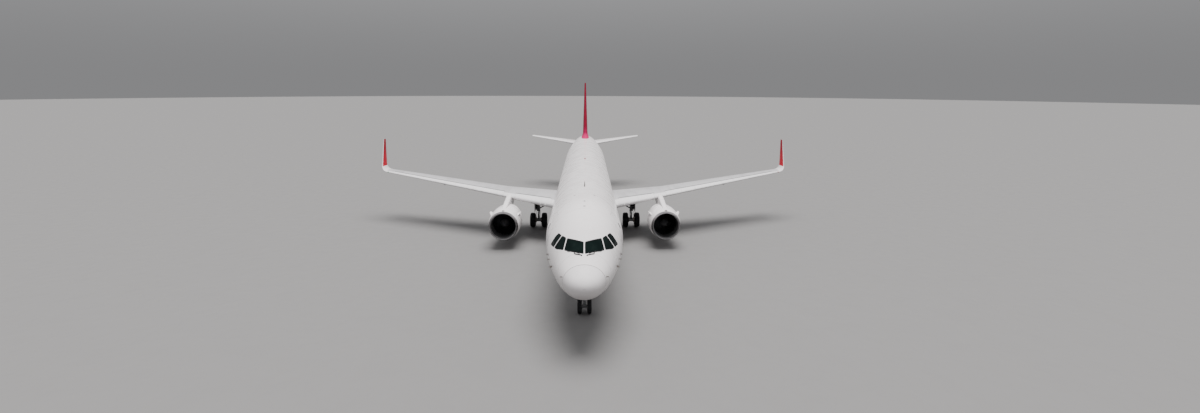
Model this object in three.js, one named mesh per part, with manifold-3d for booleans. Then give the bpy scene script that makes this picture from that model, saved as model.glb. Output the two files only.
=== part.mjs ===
// A stretched narrow-body twin-jet airliner, parked on its landing gear, as a 1:2 scale model.
// All sizes below are those of the full-size aircraft in millimetres; MODEL_SCALE halves them.
// +X is the aircraft's left, +Y is aft and +Z is up. The ground is Z = 0.
// A station is the distance aft of the nose tip.
import * as THREE from 'three';
import { mergeVertices } from 'three/addons/utils/BufferGeometryUtils.js';
import Module from 'manifold-3d';

const wasm = await Module();
wasm.setup();

// Driving dimensions
const MODEL_SCALE = 1 / 2;
const LENGTH = 44510;
const HEIGHT = 11760;
const FIXED_GAP = 0.6;
const RUNNING_GAP = 12;
const NOSE_GEAR_STATION = 5070;
const MAIN_GEAR_STATION = 21970;
const MAIN_GEAR_OUT = 3795;
const ENGINE_OUT = 5750;
const ENGINE_HEIGHT = 1700;
const INLET_STATION = 15670;
const ROUND_SEGMENTS = 20;
const ROD_SEGMENTS = 8;

const SIDES = [
  { side: 'left', sign: 1 },
  { side: 'right', sign: -1 },
];

// Fuselage sections: station, half width, crown height, keel height, height of the widest point
const FUSELAGE_SECTIONS = [
  { station: 0, halfWidth: 0, crown: 3250, keel: 3250, waist: 3250 },
  { station: 250, halfWidth: 540, crown: 3670, keel: 2820, waist: 3240 },
  { station: 1000, halfWidth: 950, crown: 4045, keel: 2420, waist: 3260 },
  { station: 1700, halfWidth: 1220, crown: 4425, keel: 2190, waist: 3330 },
  { station: 2250, halfWidth: 1375, crown: 4815, keel: 2030, waist: 3400 },
  { station: 3000, halfWidth: 1575, crown: 5270, keel: 1895, waist: 3540 },
  { station: 4200, halfWidth: 1825, crown: 5690, keel: 1770, waist: 3700 },
  { station: 6000, halfWidth: 1975, crown: 5870, keel: 1730, waist: 3800 },
  { station: 31000, halfWidth: 1975, crown: 5870, keel: 1730, waist: 3800 },
  { station: 34000, halfWidth: 1920, crown: 5870, keel: 2080, waist: 3930 },
  { station: 37000, halfWidth: 1660, crown: 5860, keel: 2800, waist: 4250 },
  { station: 40000, halfWidth: 1270, crown: 5800, keel: 3530, waist: 4620 },
  { station: 42500, halfWidth: 820, crown: 5620, keel: 4160, waist: 4880 },
  { station: LENGTH, halfWidth: 330, crown: 5280, keel: 4680, waist: 4980 },
];
const NOSE_RINGS = 13;
const TAIL_RINGS = 9;
const FIRST_RING = 25;
const BARREL_START = 6000;
const BARREL_END = 31000;
const FUSELAGE_SEGMENTS = 32;
const FAIRING_SEGMENTS = 24;
const NACELLE_SEGMENTS = 24;
const RADOME_STATION = 940;
const TAIL_CONE_STATION = 43600;
const EXHAUST_RADIUS = 190;
const EXHAUST_DEPTH = 600;

// Cockpit panes on one side, front to rear: corners as station, distance out and height, on the skin
const PANE_DEPTH = 400;
const GLAZING_INSET = 10;
const GLAZING_THICKNESS = 70;
const GLAZING_MARGIN = 60;
const COCKPIT_PANES = [
  [[1530, 55, 4325], [2006, 853, 4332], [2459, 757, 4725], [2056, 55, 4676]],
  [[2126, 959, 4323], [2592, 1291, 4218], [2733, 1344, 4233], [2776, 994, 4751], [2549, 847, 4723]],
  [[2934, 1427, 4217], [3344, 1563, 4202], [3214, 1326, 4612], [3166, 1193, 4764], [2893, 1069, 4749]],
];

// Passenger doors: name, centre station, sill height, width and height
const DOOR_THICKNESS = 110;
const PASSENGER_DOORS = [
  { place: 'forward', station: 5000, sill: 3410, width: 810, height: 1850 },
  { place: 'aft', station: 36600, sill: 3560, width: 760, height: 1760 },
];

// Cargo doors on the right side, hinged along their top edge
const CARGO_DOORS = [
  { place: 'forward', station: 9200, sill: 2110, width: 1820, height: 1210 },
  { place: 'aft', station: 29700, sill: 2110, width: 1820, height: 1210 },
];
const CARGO_BAY_INNER = 250;
const CARGO_SILL_SLOPE = THREE.MathUtils.degToRad(53);
const CARGO_SILL_REACH = 400;
const CARGO_HINGE_INSET = 20;
const CARGO_TOP_GAP = 22;
const CARGO_PIN_RADIUS = 15;

// Wing sections: distance out, leading and trailing edge stations, height, thickness over chord
const WING_SECTIONS = [
  { out: 1000, leading: 16700, trailing: 23200, height: 2668, thickness: 0.145 },
  { out: 6400, leading: 19452, trailing: 23200, height: 3149, thickness: 0.12 },
  { out: 17050, leading: 24878, trailing: 26380, height: 4100, thickness: 0.11 },
];
const WINGLET_SECTIONS = [
  { out: 17050.6, leading: 24878, trailing: 26380, height: 4100, lean: 0, thickness: 0.11 },
  { out: 17330, leading: 25060, trailing: 26470, height: 4180, lean: 25, thickness: 0.105 },
  { out: 17540, leading: 25330, trailing: 26600, height: 4400, lean: 58, thickness: 0.10 },
  { out: 17640, leading: 25620, trailing: 26730, height: 4720, lean: 78, thickness: 0.10 },
  { out: 17882, leading: 26900, trailing: 27400, height: 6690, lean: 84, thickness: 0.09 },
];
const AIRFOIL_POINTS = 9;
const CAMBER = 0.012;

// Pieces of the wing's edges, seen from above: span from, span to, and share of the chord
const SLATS = [
  { place: 'inboard', from: 2500, to: 5300, share: 0.13 },
  { place: 'outboard', from: 6250, to: 16300, share: 0.16 },
];
const FLAPS = [
  { place: 'inboard', from: 2350, to: 6340, share: 0.80 },
  { place: 'outboard', from: 6460, to: 12900, share: 0.76 },
];
const CHORD_OVERSHOOT = 0.3;
const TRACK_OVERHANG = 350;
const TRACK_SINK = 1.05;
const TRACK_FAIRINGS = [
  { out: 4700, length: 2500, radius: 190 },
  { out: 8300, length: 2900, radius: 210 },
  { out: 11600, length: 2500, radius: 180 },
];
// A track fairing's shape: share of its length, and share of its radius
const TRACK_SHAPE = [[0, 0], [0.08, 0.45], [0.3, 0.92], [0.5, 1], [0.8, 0.6], [1, 0]];

const STABILIZER_SECTIONS = [
  { out: 500, leading: 38540, trailing: 42690, height: 4948, thickness: 0.10 },
  { out: 6225, leading: 42240, trailing: 43550, height: 5550, thickness: 0.095 },
];
const FIN_SECTIONS = [
  { out: 0, leading: 36820, trailing: 42960, height: 5300, lean: 90, thickness: 0.095 },
  { out: 0, leading: 42250, trailing: 43950, height: HEIGHT, lean: 90, thickness: 0.095 },
];

// Hinged surfaces: ends of the hinge line along the span, and its share of the chord
const AILERON = { sections: WING_SECTIONS, span: 'out', from: 13150, to: 16350, share: 0.75, camber: CAMBER };
const ELEVATOR = { sections: STABILIZER_SECTIONS, span: 'out', from: 1400, to: 5950, share: 0.68, camber: 0 };
const RUDDER = { sections: FIN_SECTIONS, span: 'height', from: 6320, to: 11480, share: 0.70, camber: 0 };
const HINGE_GAP = 16;
const HINGE_NOSE_FILL = 0.985;
const HINGE_PIN_RADIUS = 20;
const SURFACE_REACH = 2500;
const COVE_SEGMENTS = 20;
const DORSAL = { start: 35700, end: 38600, rise: 640, width: 110, startSink: 40, endSink: 300 };

// Belly fairing sections: station, half width, top and bottom heights
const FAIRING_SECTIONS = [
  { station: 14700, halfWidth: 900, top: 2300, bottom: 1760 },
  { station: 15900, halfWidth: 1750, top: 2700, bottom: 1560 },
  { station: 17600, halfWidth: 2200, top: 3050, bottom: 1370 },
  { station: 20000, halfWidth: 2300, top: 3150, bottom: 1330 },
  { station: 23600, halfWidth: 2250, top: 3050, bottom: 1370 },
  { station: 25400, halfWidth: 1800, top: 2700, bottom: 1540 },
  { station: 27000, halfWidth: 900, top: 2300, bottom: 1760 },
];
const FAIRING_SQUARENESS = 2.8;

// Engine profiles: distance aft of the inlet face, and radius
const LIP_LENGTH = 210;
const SLEEVE_START = 1750;
const NACELLE_END = 3050;
const NACELLE_OUTER = [
  [0, 950], [30, 985], [90, 1012], [LIP_LENGTH, 1044], [600, 1105], [1200, 1140], [SLEEVE_START, 1130],
  [2300, 1086], [NACELLE_END, 975],
];
const NACELLE_INNER = [
  [NACELLE_END, 950], [2400, 960], [SLEEVE_START, 924], [900, 880], [450, 850], [LIP_LENGTH, 866],
  [90, 897], [30, 922],
];
const FAN_STATION = 980;
const FAN_RADIUS = 866;
const FAN_HUB_RADIUS = 290;
const FAN_LENGTH = 200;
const FAN_BLADES = 16;
const FAN_BLADE_FILL = 0.44;
const FAN_BLADE_CHORD = 1.25;
const FAN_HUB_FLARE = 20;
const FAN_BLADE_SECTIONS = [
  { radius: FAN_HUB_RADIUS - 1.5 * FAN_HUB_FLARE, pitch: 25, thick: 34 },
  { radius: FAN_RADIUS, pitch: 58, thick: 14 },
];
const SPINNER = { length: 480, tipLength: 70, tipRadius: 60 };
const FAN_SHAFT_RADIUS = 120;
const CORE_FRONT = 1320;
const CORE_PROFILE = [
  [CORE_FRONT, 0], [CORE_FRONT, 400], [1800, 600], [2500, 690], [3100, 640], [3750, 440], [3760, 330],
  [4450, 30], [4460, 0],
];
const PYLON_HALF_WIDTH = 190;
const PYLON_OUTLINE = [
  [700, 1080], [1700, 1330], [3300, 1570], [3900, 1600], [4700, 1450], [6700, 1160],
  [5600, 960], [4300, 610], [3600, 420], [2300, 560], [2300, 800], [2900, 1000],
];
const STRAKE = { start: 650, length: 1000, foot: 1075, height: 210, crest: 0.6, thickness: 24, turn: 48 };

// Landing gear
const MAIN_WHEEL = {
  radius: 585, width: 430, spacing: 927, rimRadius: 285, rimWidth: 340, axleRadius: 60, hubRadius: 110,
};
const NOSE_WHEEL = {
  radius: 385, width: 222, spacing: 500, rimRadius: 190, rimWidth: 176, axleRadius: 38, hubRadius: 70,
};
const AXLE_PLAY = 1.2;
const TYRE_SEGMENTS = 32;
// A tyre's shape: share of its half width, and share of the height from rim to tread
const TYRE_SHAPE = [[-0.74, 0], [-1, 0.5], [-0.72, 0.93], [0, 1], [0.72, 0.93], [1, 0.5], [0.74, 0]];
const WHEEL_DISH = { depth: 0.25, edge: 0.88, cap: 0.8 };
const MAIN_LEG = {
  radius: 125, pistonRadius: 82, pistonTop: 1350, top: 2960, boss: 140, bossLength: 380, overlap: 30,
};
const NOSE_LEG = {
  radius: 95, pistonRadius: 62, split: 1120, top: 2300, boss: 92, bossLength: 240, overlap: 20,
};
// Rods of the gear: both ends as distance inboard of the leg, distance aft of it, and height
const MAIN_RODS = [
  { piece: 'side brace', radius: 52, from: [0, 0, 1500], to: [1700, -60, 2500] },
  { piece: 'lower torque link', radius: 34, from: [0, 40, 715], to: [0, 330, 1080] },
  { piece: 'upper torque link', radius: 34, from: [0, 330, 1080], to: [0, 60, 1430] },
];
const NOSE_FORK_RODS = [
  { piece: 'lower torque link', radius: 24, from: [0, -30, 485], to: [0, -260, 800] },
  { piece: 'upper torque link', radius: 24, from: [0, -260, 800], to: [0, -50, 1090] },
];
const NOSE_LEG_RODS = [
  { piece: 'drag brace', radius: 42, from: [0, 0, 1420], to: [0, 660, 2260] },
];
// Gear doors: distance out of the inner face, and corners as distance aft of the leg and height
const MAIN_LEG_DOOR = {
  standOff: 150,
  thickness: 30,
  outline: [[-330, 1280], [330, 1280], [420, 1700], [420, 2960], [-420, 2960], [-420, 1700]],
  bracketRadius: 30,
  bracketHeights: [1700, 2150],
};
const NOSE_GEAR_DOOR = {
  out: 270,
  thickness: 22,
  outline: [[-120, 1330], [620, 1330], [700, 1450], [700, 2300], [-200, 2300], [-200, 1400]],
};

// Bays that are open from below: the nose gear's, and the main wheels' in the belly fairing
const NOSE_BAY = { halfWidth: 235, ahead: 330, behind: 780, roof: 2200 };
const WHEEL_WELL = { out: 1130, radius: 620, roof: 1600 };
const WELL_SEGMENTS = 24;

// Jacking pads with a flat underside, and the tow fitting on the nose gear
const JACK_PAD = { radius: 70, drop: 25, rise: 150 };
const NOSE_JACK_STATION = 7000;
const TAIL_JACK_STATION = 30900;
const WING_JACK = { out: 7500, share: 0.42 };
const TOW_FITTING = { width: 110, height: 60, ahead: 150 };

const MATERIALS = {
  fuselageWhite: { color: 0xe9e6e6, roughness: 0.3, metalness: 0.0 },
  radomeWhite: { color: 0xdedcdc, roughness: 0.4, metalness: 0.0 },
  wingGrey: { color: 0xb4b8bc, roughness: 0.42, metalness: 0.1 },
  slatWhite: { color: 0xd8dadc, roughness: 0.35, metalness: 0.1 },
  finCrimson: { color: 0xa51237, roughness: 0.32, metalness: 0.0 },
  wingletRed: { color: 0xc41a30, roughness: 0.32, metalness: 0.0 },
  glass: { color: 0x16292b, roughness: 0.08, metalness: 0.0 },
  bareMetal: { color: 0xaaadb0, roughness: 0.25, metalness: 0.9 },
  darkMetal: { color: 0x57534f, roughness: 0.5, metalness: 0.8 },
  fanMetal: { color: 0x33363a, roughness: 0.4, metalness: 0.7 },
  gearSteel: { color: 0x8d9093, roughness: 0.45, metalness: 0.6 },
  wheelRim: { color: 0xa6a8aa, roughness: 0.4, metalness: 0.6 },
  tyre: { color: 0x1a1a1b, roughness: 0.85, metalness: 0.0 },
};

const aircraft = new THREE.Group();
aircraft.scale.setScalar(MODEL_SCALE);

// Basic tools

const aft = (station) => station - LENGTH / 2;

function signedVolume(positions, index) {
  const a = new THREE.Vector3();
  const b = new THREE.Vector3();
  const c = new THREE.Vector3();
  let volume = 0;
  for (let i = 0; i < index.length; i += 3) {
    a.fromArray(positions, index[i] * 3);
    b.fromArray(positions, index[i + 1] * 3);
    c.fromArray(positions, index[i + 2] * 3);
    volume += a.dot(b.cross(c)) / 6;
  }
  return volume;
}

function solidFrom(geometry) {
  const bare = geometry.clone();
  bare.deleteAttribute('normal');
  bare.deleteAttribute('uv');
  const welded = mergeVertices(bare, 1e-3);
  const positions = new Float32Array(welded.attributes.position.array);
  const index = [];
  const source = welded.index.array;
  for (let i = 0; i < source.length; i += 3) {
    const [a, b, c] = [source[i], source[i + 1], source[i + 2]];
    if (a !== b && b !== c && a !== c) index.push(a, b, c);
  }
  if (signedVolume(positions, index) < 0) index.reverse();
  return new wasm.Manifold(new wasm.Mesh({
    numProp: 3,
    vertProperties: positions,
    triVerts: new Uint32Array(index),
  }));
}

function addPiece(name, solid, material) {
  const mesh = solid.getMesh();
  const geometry = new THREE.BufferGeometry();
  geometry.setAttribute('position', new THREE.BufferAttribute(mesh.vertProperties, 3));
  geometry.setIndex(new THREE.BufferAttribute(mesh.triVerts, 1));
  geometry.computeVertexNormals();
  const piece = new THREE.Mesh(geometry, new THREE.MeshStandardMaterial(MATERIALS[material]));
  piece.name = name;
  aircraft.add(piece);
}

function join(solids) {
  return solids.reduce((sum, solid) => sum.add(solid));
}

function cut(solid, cutters) {
  return cutters.reduce((rest, cutter) => rest.subtract(cutter), solid);
}

// A closed solid through rings of points; tips may give points beyond the first and last ring
function loft(rings, startTip = null, endTip = null) {
  const count = rings[0].length;
  const centre = (ring) => ring.reduce((sum, p) => sum.add(p), new THREE.Vector3()).divideScalar(count);
  const points = rings.flat();
  const start = points.push(startTip ?? centre(rings[0])) - 1;
  const end = points.push(endTip ?? centre(rings.at(-1))) - 1;
  const index = [];
  for (let j = 0; j < count; j += 1) {
    const next = (j + 1) % count;
    for (let i = 0; i < rings.length - 1; i += 1) {
      const near = i * count;
      const far = near + count;
      index.push(near + j, far + j, far + next, near + j, far + next, near + next);
    }
    const last = (rings.length - 1) * count;
    index.push(start, j, next, end, last + next, last + j);
  }
  const geometry = new THREE.BufferGeometry().setFromPoints(points);
  geometry.setIndex(index);
  return solidFrom(geometry);
}

function box(from, to) {
  const low = new THREE.Vector3(...from);
  const high = new THREE.Vector3(...to);
  const size = high.clone().sub(low);
  const middle = low.add(high).divideScalar(2);
  return solidFrom(new THREE.BoxGeometry(size.x, size.y, size.z).translate(middle.x, middle.y, middle.z));
}

function rod(from, to, startRadius, endRadius = startRadius, segments = ROD_SEGMENTS) {
  const start = new THREE.Vector3(...from);
  const along = new THREE.Vector3(...to).sub(start);
  const length = along.length();
  const geometry = new THREE.CylinderGeometry(endRadius, startRadius, length, segments);
  geometry.translate(0, length / 2, 0);
  geometry.applyQuaternion(new THREE.Quaternion().setFromUnitVectors(
    new THREE.Vector3(0, 1, 0),
    along.normalize(),
  ));
  return solidFrom(geometry.translate(start.x, start.y, start.z));
}

function outlineShape(points) {
  return new THREE.Shape(points.map(([a, b]) => new THREE.Vector2(a, b)));
}

function extruded(points, depth) {
  return new THREE.ExtrudeGeometry(outlineShape(points), { depth, bevelEnabled: false });
}

// An outline in X and Y, made a solid from one height to another
function planPrism(points, bottom, top) {
  return solidFrom(extruded(points, top - bottom).translate(0, 0, bottom));
}

// An outline in Y and Z, made a solid from one X to another
function sidePrism(points, low, high) {
  const turn = new THREE.Matrix4().makeBasis(
    new THREE.Vector3(0, 1, 0),
    new THREE.Vector3(0, 0, 1),
    new THREE.Vector3(1, 0, 0),
  );
  return solidFrom(extruded(points, high - low).applyMatrix4(turn).translate(low, 0, 0));
}

// An outline in X and Z, made a solid from one Y to another
function crossPrism(points, low, high) {
  return solidFrom(extruded(points, high - low).rotateX(Math.PI / 2).translate(0, high, 0));
}

// Turned profiles are pairs of distance along the axis and radius
function turnedAlongY(profile, segments, x, y, z) {
  const points = profile.map(([along, radius]) => new THREE.Vector2(radius, along));
  return solidFrom(new THREE.LatheGeometry(points, segments).translate(x, y, z));
}

// The turned shape stands on a flat, and not on an edge
function turnedAlongX(profile, segments, x, y, z) {
  const points = profile.map(([along, radius]) => new THREE.Vector2(radius, along));
  const geometry = new THREE.LatheGeometry(points, segments, Math.PI / segments).rotateZ(-Math.PI / 2);
  return solidFrom(geometry.translate(x, y, z));
}

// A round pad that stands proud of the skin above it, with a flat underside
function jackPad(x, y, skinHeight) {
  return rod([x, y, skinHeight - JACK_PAD.drop], [x, y, skinHeight + JACK_PAD.rise], JACK_PAD.radius);
}

// Fuselage

// Sections are joined by cubic curves over the square root of the station, which keeps the nose round
function fuselageValue(key, station) {
  const place = (row) => Math.sqrt(row.station);
  const rows = FUSELAGE_SECTIONS;
  const u = Math.sqrt(station);
  let i = 0;
  while (i < rows.length - 2 && station > rows[i + 1].station) i += 1;
  const slope = (n) => {
    const before = rows[Math.max(n - 1, 0)];
    const after = rows[Math.min(n + 1, rows.length - 1)];
    if (rows[n].station === BARREL_START || rows[n].station === BARREL_END) return 0;
    return (after[key] - before[key]) / (place(after) - place(before));
  };
  const span = place(rows[i + 1]) - place(rows[i]);
  const t = (u - place(rows[i])) / span;
  const start = rows[i][key];
  const end = rows[i + 1][key];
  const ease = t * t * (3 - 2 * t);
  return start + (end - start) * ease
    + span * slope(i) * t * (1 - t) ** 2
    - span * slope(i + 1) * t * t * (1 - t);
}

function fuselageSkin(station, angle, inset) {
  const halfWidth = Math.max(fuselageValue('halfWidth', station) - inset, 1);
  const waist = fuselageValue('waist', station);
  const rise = Math.sin(angle) > 0
    ? fuselageValue('crown', station) - waist - inset
    : waist - fuselageValue('keel', station) - inset;
  return new THREE.Vector3(
    halfWidth * Math.cos(angle),
    aft(station),
    waist + Math.max(rise, 1) * Math.sin(angle),
  );
}

function skinOut(station, height) {
  const waist = fuselageValue('waist', station);
  const rise = height > waist
    ? fuselageValue('crown', station) - waist
    : waist - fuselageValue('keel', station);
  return fuselageValue('halfWidth', station) * Math.sqrt(1 - ((height - waist) / rise) ** 2);
}

function fuselageStations() {
  const stations = [];
  for (let i = 0; i < NOSE_RINGS; i += 1) {
    const share = i / (NOSE_RINGS - 1);
    const first = Math.sqrt(FIRST_RING);
    stations.push((first + (Math.sqrt(BARREL_START) - first) * share) ** 2);
  }
  for (let i = 0; i < TAIL_RINGS; i += 1) {
    stations.push(BARREL_END + ((LENGTH - BARREL_END) * i) / (TAIL_RINGS - 1));
  }
  return stations;
}

function fuselageSolid(inset = 0) {
  const rings = fuselageStations().map((station) => Array.from(
    { length: FUSELAGE_SEGMENTS },
    (_, k) => fuselageSkin(station, (2 * Math.PI * k) / FUSELAGE_SEGMENTS, inset),
  ));
  const tip = new THREE.Vector3(0, aft(0) + inset, FUSELAGE_SECTIONS[0].waist);
  return loft(rings, tip);
}

const wholeFuselage = fuselageSolid();
const grownFuselage = fuselageSolid(-FIXED_GAP);
const FAR = 3 * LENGTH;

function stationSlab(from, to) {
  return box([-FAR, aft(from), -FAR], [FAR, aft(to), FAR]);
}

function panePrism(corners, sign, grow) {
  const points = corners.map(([station, out, height]) => new THREE.Vector3(sign * out, aft(station), height));
  const middle = points.reduce((sum, p) => sum.add(p), new THREE.Vector3()).divideScalar(points.length);
  const normal = new THREE.Vector3();
  points.forEach((point, i) => {
    const next = points[(i + 1) % points.length];
    normal.add(point.clone().sub(middle).cross(next.clone().sub(middle)));
  });
  normal.normalize();
  const rings = [-1, 1].map((end) => points.map((point) => {
    const away = point.clone().sub(middle);
    away.multiplyScalar((away.length() + grow) / away.length());
    return middle.clone().add(away).addScaledVector(normal, (end * PANE_DEPTH) / 2);
  }));
  return loft(rings);
}

// The glazing is one band under the skin, with six panes that rise into the window openings
function glazing(grow) {
  const outer = fuselageSolid(GLAZING_INSET - grow);
  const under = fuselageSolid(GLAZING_INSET + GLAZING_THICKNESS / 2 - grow);
  const inner = fuselageSolid(GLAZING_INSET + GLAZING_THICKNESS + grow);
  const panes = [];
  for (const { sign } of SIDES) {
    for (const corners of COCKPIT_PANES) panes.push(panePrism(corners, sign, grow));
  }
  const band = glazingBand(grow);
  const shell = join(panes.map((pane) => pane.intersect(outer))).add(band.intersect(under));
  return shell.subtract(inner);
}

// A side view of the band: it stops short of the panes' outermost corners by the margin
function glazingBand(grow) {
  const corner = (pane, index) => [aft(COCKPIT_PANES[pane][index][0]), COCKPIT_PANES[pane][index][2]];
  const [frontLow, frontHigh] = [corner(0, 0), corner(0, 3)];
  const [rearLow, rearMiddle, rearHigh] = [corner(2, 1), corner(2, 2), corner(2, 3)];
  const inside = GLAZING_MARGIN - grow;
  const outline = [
    [frontLow[0] + inside, frontLow[1] + inside],
    [rearLow[0] - inside, rearLow[1] + inside],
    [rearMiddle[0] - inside, rearMiddle[1]],
    [rearHigh[0] - inside, rearHigh[1] - inside],
    [frontHigh[0] + inside, frontHigh[1] - inside],
  ];
  return sidePrism(outline, -BARREL_START, BARREL_START);
}

function doorBox(door, sign, grow) {
  const edges = [0, sign * BARREL_START].sort((a, b) => a - b);
  return box(
    [edges[0], aft(door.station) - door.width / 2 - grow, door.sill - grow],
    [edges[1], aft(door.station) + door.width / 2 + grow, door.sill + door.height + grow],
  );
}

function passengerDoorCutter(door, sign) {
  return doorBox(door, sign, FIXED_GAP).subtract(fuselageSolid(DOOR_THICKNESS + FIXED_GAP));
}

// A cargo door's outline: its sill edge slopes along the skin's normal, so that it can swing out
function cargoPrism(door, grow, topGrow) {
  const down = [Math.cos(CARGO_SILL_SLOPE), -Math.sin(CARGO_SILL_SLOPE)];
  const sillPoint = (distance) => [
    skinOut(door.station, door.sill) + down[0] * distance + down[1] * grow,
    door.sill + down[1] * distance - down[0] * grow,
  ];
  const [outerX, outerZ] = sillPoint(CARGO_SILL_REACH);
  const [innerX, innerZ] = sillPoint(-1.2 * DOOR_THICKNESS);
  const top = door.sill + door.height + topGrow;
  const outline = [
    [innerX, innerZ], [outerX, outerZ], [BARREL_START, outerZ], [BARREL_START, top],
    [CARGO_BAY_INNER, top], [CARGO_BAY_INNER, innerZ],
  ];
  const half = door.width / 2 + grow;
  return crossPrism(outline.map(([x, z]) => [-x, z]), aft(door.station) - half, aft(door.station) + half);
}

function cargoHinge(door) {
  const height = door.sill + door.height - CARGO_HINGE_INSET;
  const out = skinOut(door.station, door.sill + door.height) - CARGO_HINGE_INSET;
  return { out, height };
}

function noseBay(shrink) {
  const y = aft(NOSE_GEAR_STATION);
  return box(
    [-NOSE_BAY.halfWidth + shrink, y - NOSE_BAY.ahead + shrink, 0],
    [NOSE_BAY.halfWidth - shrink, y + NOSE_BAY.behind - shrink, NOSE_BAY.roof - shrink],
  );
}

function addFuselage() {
  const cutters = [
    stationSlab(-LENGTH, RADOME_STATION + FIXED_GAP),
    stationSlab(TAIL_CONE_STATION - FIXED_GAP, 2 * LENGTH),
    glazing(FIXED_GAP),
    noseBay(0),
  ];
  for (const { sign } of SIDES) {
    for (const door of PASSENGER_DOORS) cutters.push(passengerDoorCutter(door, sign));
    for (const corners of COCKPIT_PANES) {
      const opening = panePrism(corners, sign, FIXED_GAP);
      cutters.push(opening.subtract(fuselageSolid(GLAZING_INSET)));
    }
  }
  for (const door of CARGO_DOORS) cutters.push(cargoPrism(door, RUNNING_GAP, CARGO_TOP_GAP));
  const pads = [NOSE_JACK_STATION, TAIL_JACK_STATION].map((station) => (
    jackPad(0, aft(station), fuselageValue('keel', station))
  ));
  addPiece('fuselage', join([cut(wholeFuselage, cutters), ...pads]), 'fuselageWhite');
  addPiece('radome', wholeFuselage.intersect(stationSlab(-LENGTH, RADOME_STATION)), 'radomeWhite');
  addPiece('cockpit_glazing', glazing(0), 'glass');
}

function addTailCone() {
  const bore = rod(
    [0, aft(LENGTH - EXHAUST_DEPTH), FUSELAGE_SECTIONS.at(-1).waist],
    [0, aft(LENGTH + EXHAUST_DEPTH), FUSELAGE_SECTIONS.at(-1).waist],
    EXHAUST_RADIUS,
    EXHAUST_RADIUS,
    ROUND_SEGMENTS,
  );
  const cone = wholeFuselage.intersect(stationSlab(TAIL_CONE_STATION, 2 * LENGTH));
  addPiece('tail_cone', cone.subtract(bore), 'darkMetal');
}

function addDoors() {
  const lining = fuselageSolid(DOOR_THICKNESS);
  for (const { side, sign } of SIDES) {
    for (const door of PASSENGER_DOORS) {
      const panel = wholeFuselage.intersect(doorBox(door, sign, 0)).subtract(lining);
      addPiece(`door_${door.place}_${side}`, panel, 'fuselageWhite');
    }
  }
  for (const door of CARGO_DOORS) {
    const panel = wholeFuselage.intersect(cargoPrism(door, 0, 0)).subtract(lining);
    const hinge = cargoHinge(door);
    const reach = door.width / 2 + RUNNING_GAP - FIXED_GAP;
    const pin = rod(
      [-hinge.out, aft(door.station) - reach, hinge.height],
      [-hinge.out, aft(door.station) + reach, hinge.height],
      CARGO_PIN_RADIUS,
    );
    addPiece(`cargo_door_${door.place}`, panel.add(pin), 'fuselageWhite');
  }
}

function fairingSolid(grow = 0) {
  const rings = FAIRING_SECTIONS.map((section) => {
    const middle = (section.top + section.bottom) / 2;
    const rise = (section.top - section.bottom) / 2 + grow;
    const power = 2 / FAIRING_SQUARENESS;
    return Array.from({ length: FAIRING_SEGMENTS }, (_, k) => {
      const angle = (2 * Math.PI * k) / FAIRING_SEGMENTS;
      const across = Math.sign(Math.cos(angle)) * Math.abs(Math.cos(angle)) ** power;
      const up = Math.sign(Math.sin(angle)) * Math.abs(Math.sin(angle)) ** power;
      return new THREE.Vector3(
        (section.halfWidth + grow) * across,
        aft(section.station),
        middle + rise * up,
      );
    });
  });
  return loft(rings);
}

const grownFairing = fairingSolid(FIXED_GAP);

// The belly fairing with a round well for each pair of main wheels
function addBellyFairing() {
  const wells = SIDES.map(({ sign }) => {
    const [x, y] = [sign * WHEEL_WELL.out, aft(MAIN_GEAR_STATION)];
    return rod([x, y, 0], [x, y, WHEEL_WELL.roof], WHEEL_WELL.radius, WHEEL_WELL.radius, WELL_SEGMENTS);
  });
  addPiece('belly_fairing', cut(fairingSolid(), [grownFuselage, ...wells]), 'fuselageWhite');
}

// Wings, stabilizers and fin

const airfoilHalfHeight = (thickness, x) => 5 * thickness * (
  0.2969 * Math.sqrt(x) - 0.126 * x - 0.3516 * x ** 2 + 0.2843 * x ** 3 - 0.1015 * x ** 4
);
const airfoilMiddle = (camber, x) => 4 * camber * x * (1 - x);

// Upper and lower airfoil points as shares of the chord, from the trailing edge round to it again
function airfoilOutline(thickness, camber) {
  const halfHeight = (x) => airfoilHalfHeight(thickness, x);
  const middle = (x) => airfoilMiddle(camber, x);
  const shares = Array.from(
    { length: AIRFOIL_POINTS },
    (_, k) => (1 - Math.cos((Math.PI * k) / (AIRFOIL_POINTS - 1))) / 2,
  );
  const upper = shares.toReversed().map((x) => [x, middle(x) + halfHeight(x)]);
  const lower = shares.slice(1).map((x) => [x, middle(x) - halfHeight(x)]);
  return [...upper, ...lower];
}

// A section's ring: lean turns it about the chord from flat (0) to upright (90 degrees)
function wingRing(section, sign, grow, camber = CAMBER) {
  const chord = section.trailing - section.leading;
  const lean = THREE.MathUtils.degToRad(section.lean ?? 0);
  return airfoilOutline(section.thickness, camber).map(([x, z]) => {
    const isLeadingEdge = x === 0;
    const height = z * chord + (isLeadingEdge ? 0 : Math.sign(z) * grow);
    const shift = isLeadingEdge ? -2 * grow : Math.sign(x - 0.5) * grow;
    return new THREE.Vector3(
      sign * (section.out - height * Math.sin(lean)),
      aft(section.leading + x * chord) + shift,
      section.height + height * Math.cos(lean),
    );
  });
}

function wingSolid(sections, sign, grow = 0, camber = CAMBER) {
  return loft(sections.map((section) => wingRing(section, sign, grow, camber)));
}

function sectionAt(sections, span, value) {
  let i = 0;
  while (i < sections.length - 2 && value > sections[i + 1][span]) i += 1;
  const [near, far] = [sections[i], sections[i + 1]];
  const t = (value - near[span]) / (far[span] - near[span]);
  const mix = (read) => read(near) + t * (read(far) - read(near));
  return {
    out: mix((row) => row.out),
    leading: mix((row) => row.leading),
    chord: mix((row) => row.trailing - row.leading),
    height: mix((row) => row.height),
    depth: mix((row) => row.thickness * (row.trailing - row.leading)),
  };
}

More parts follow.
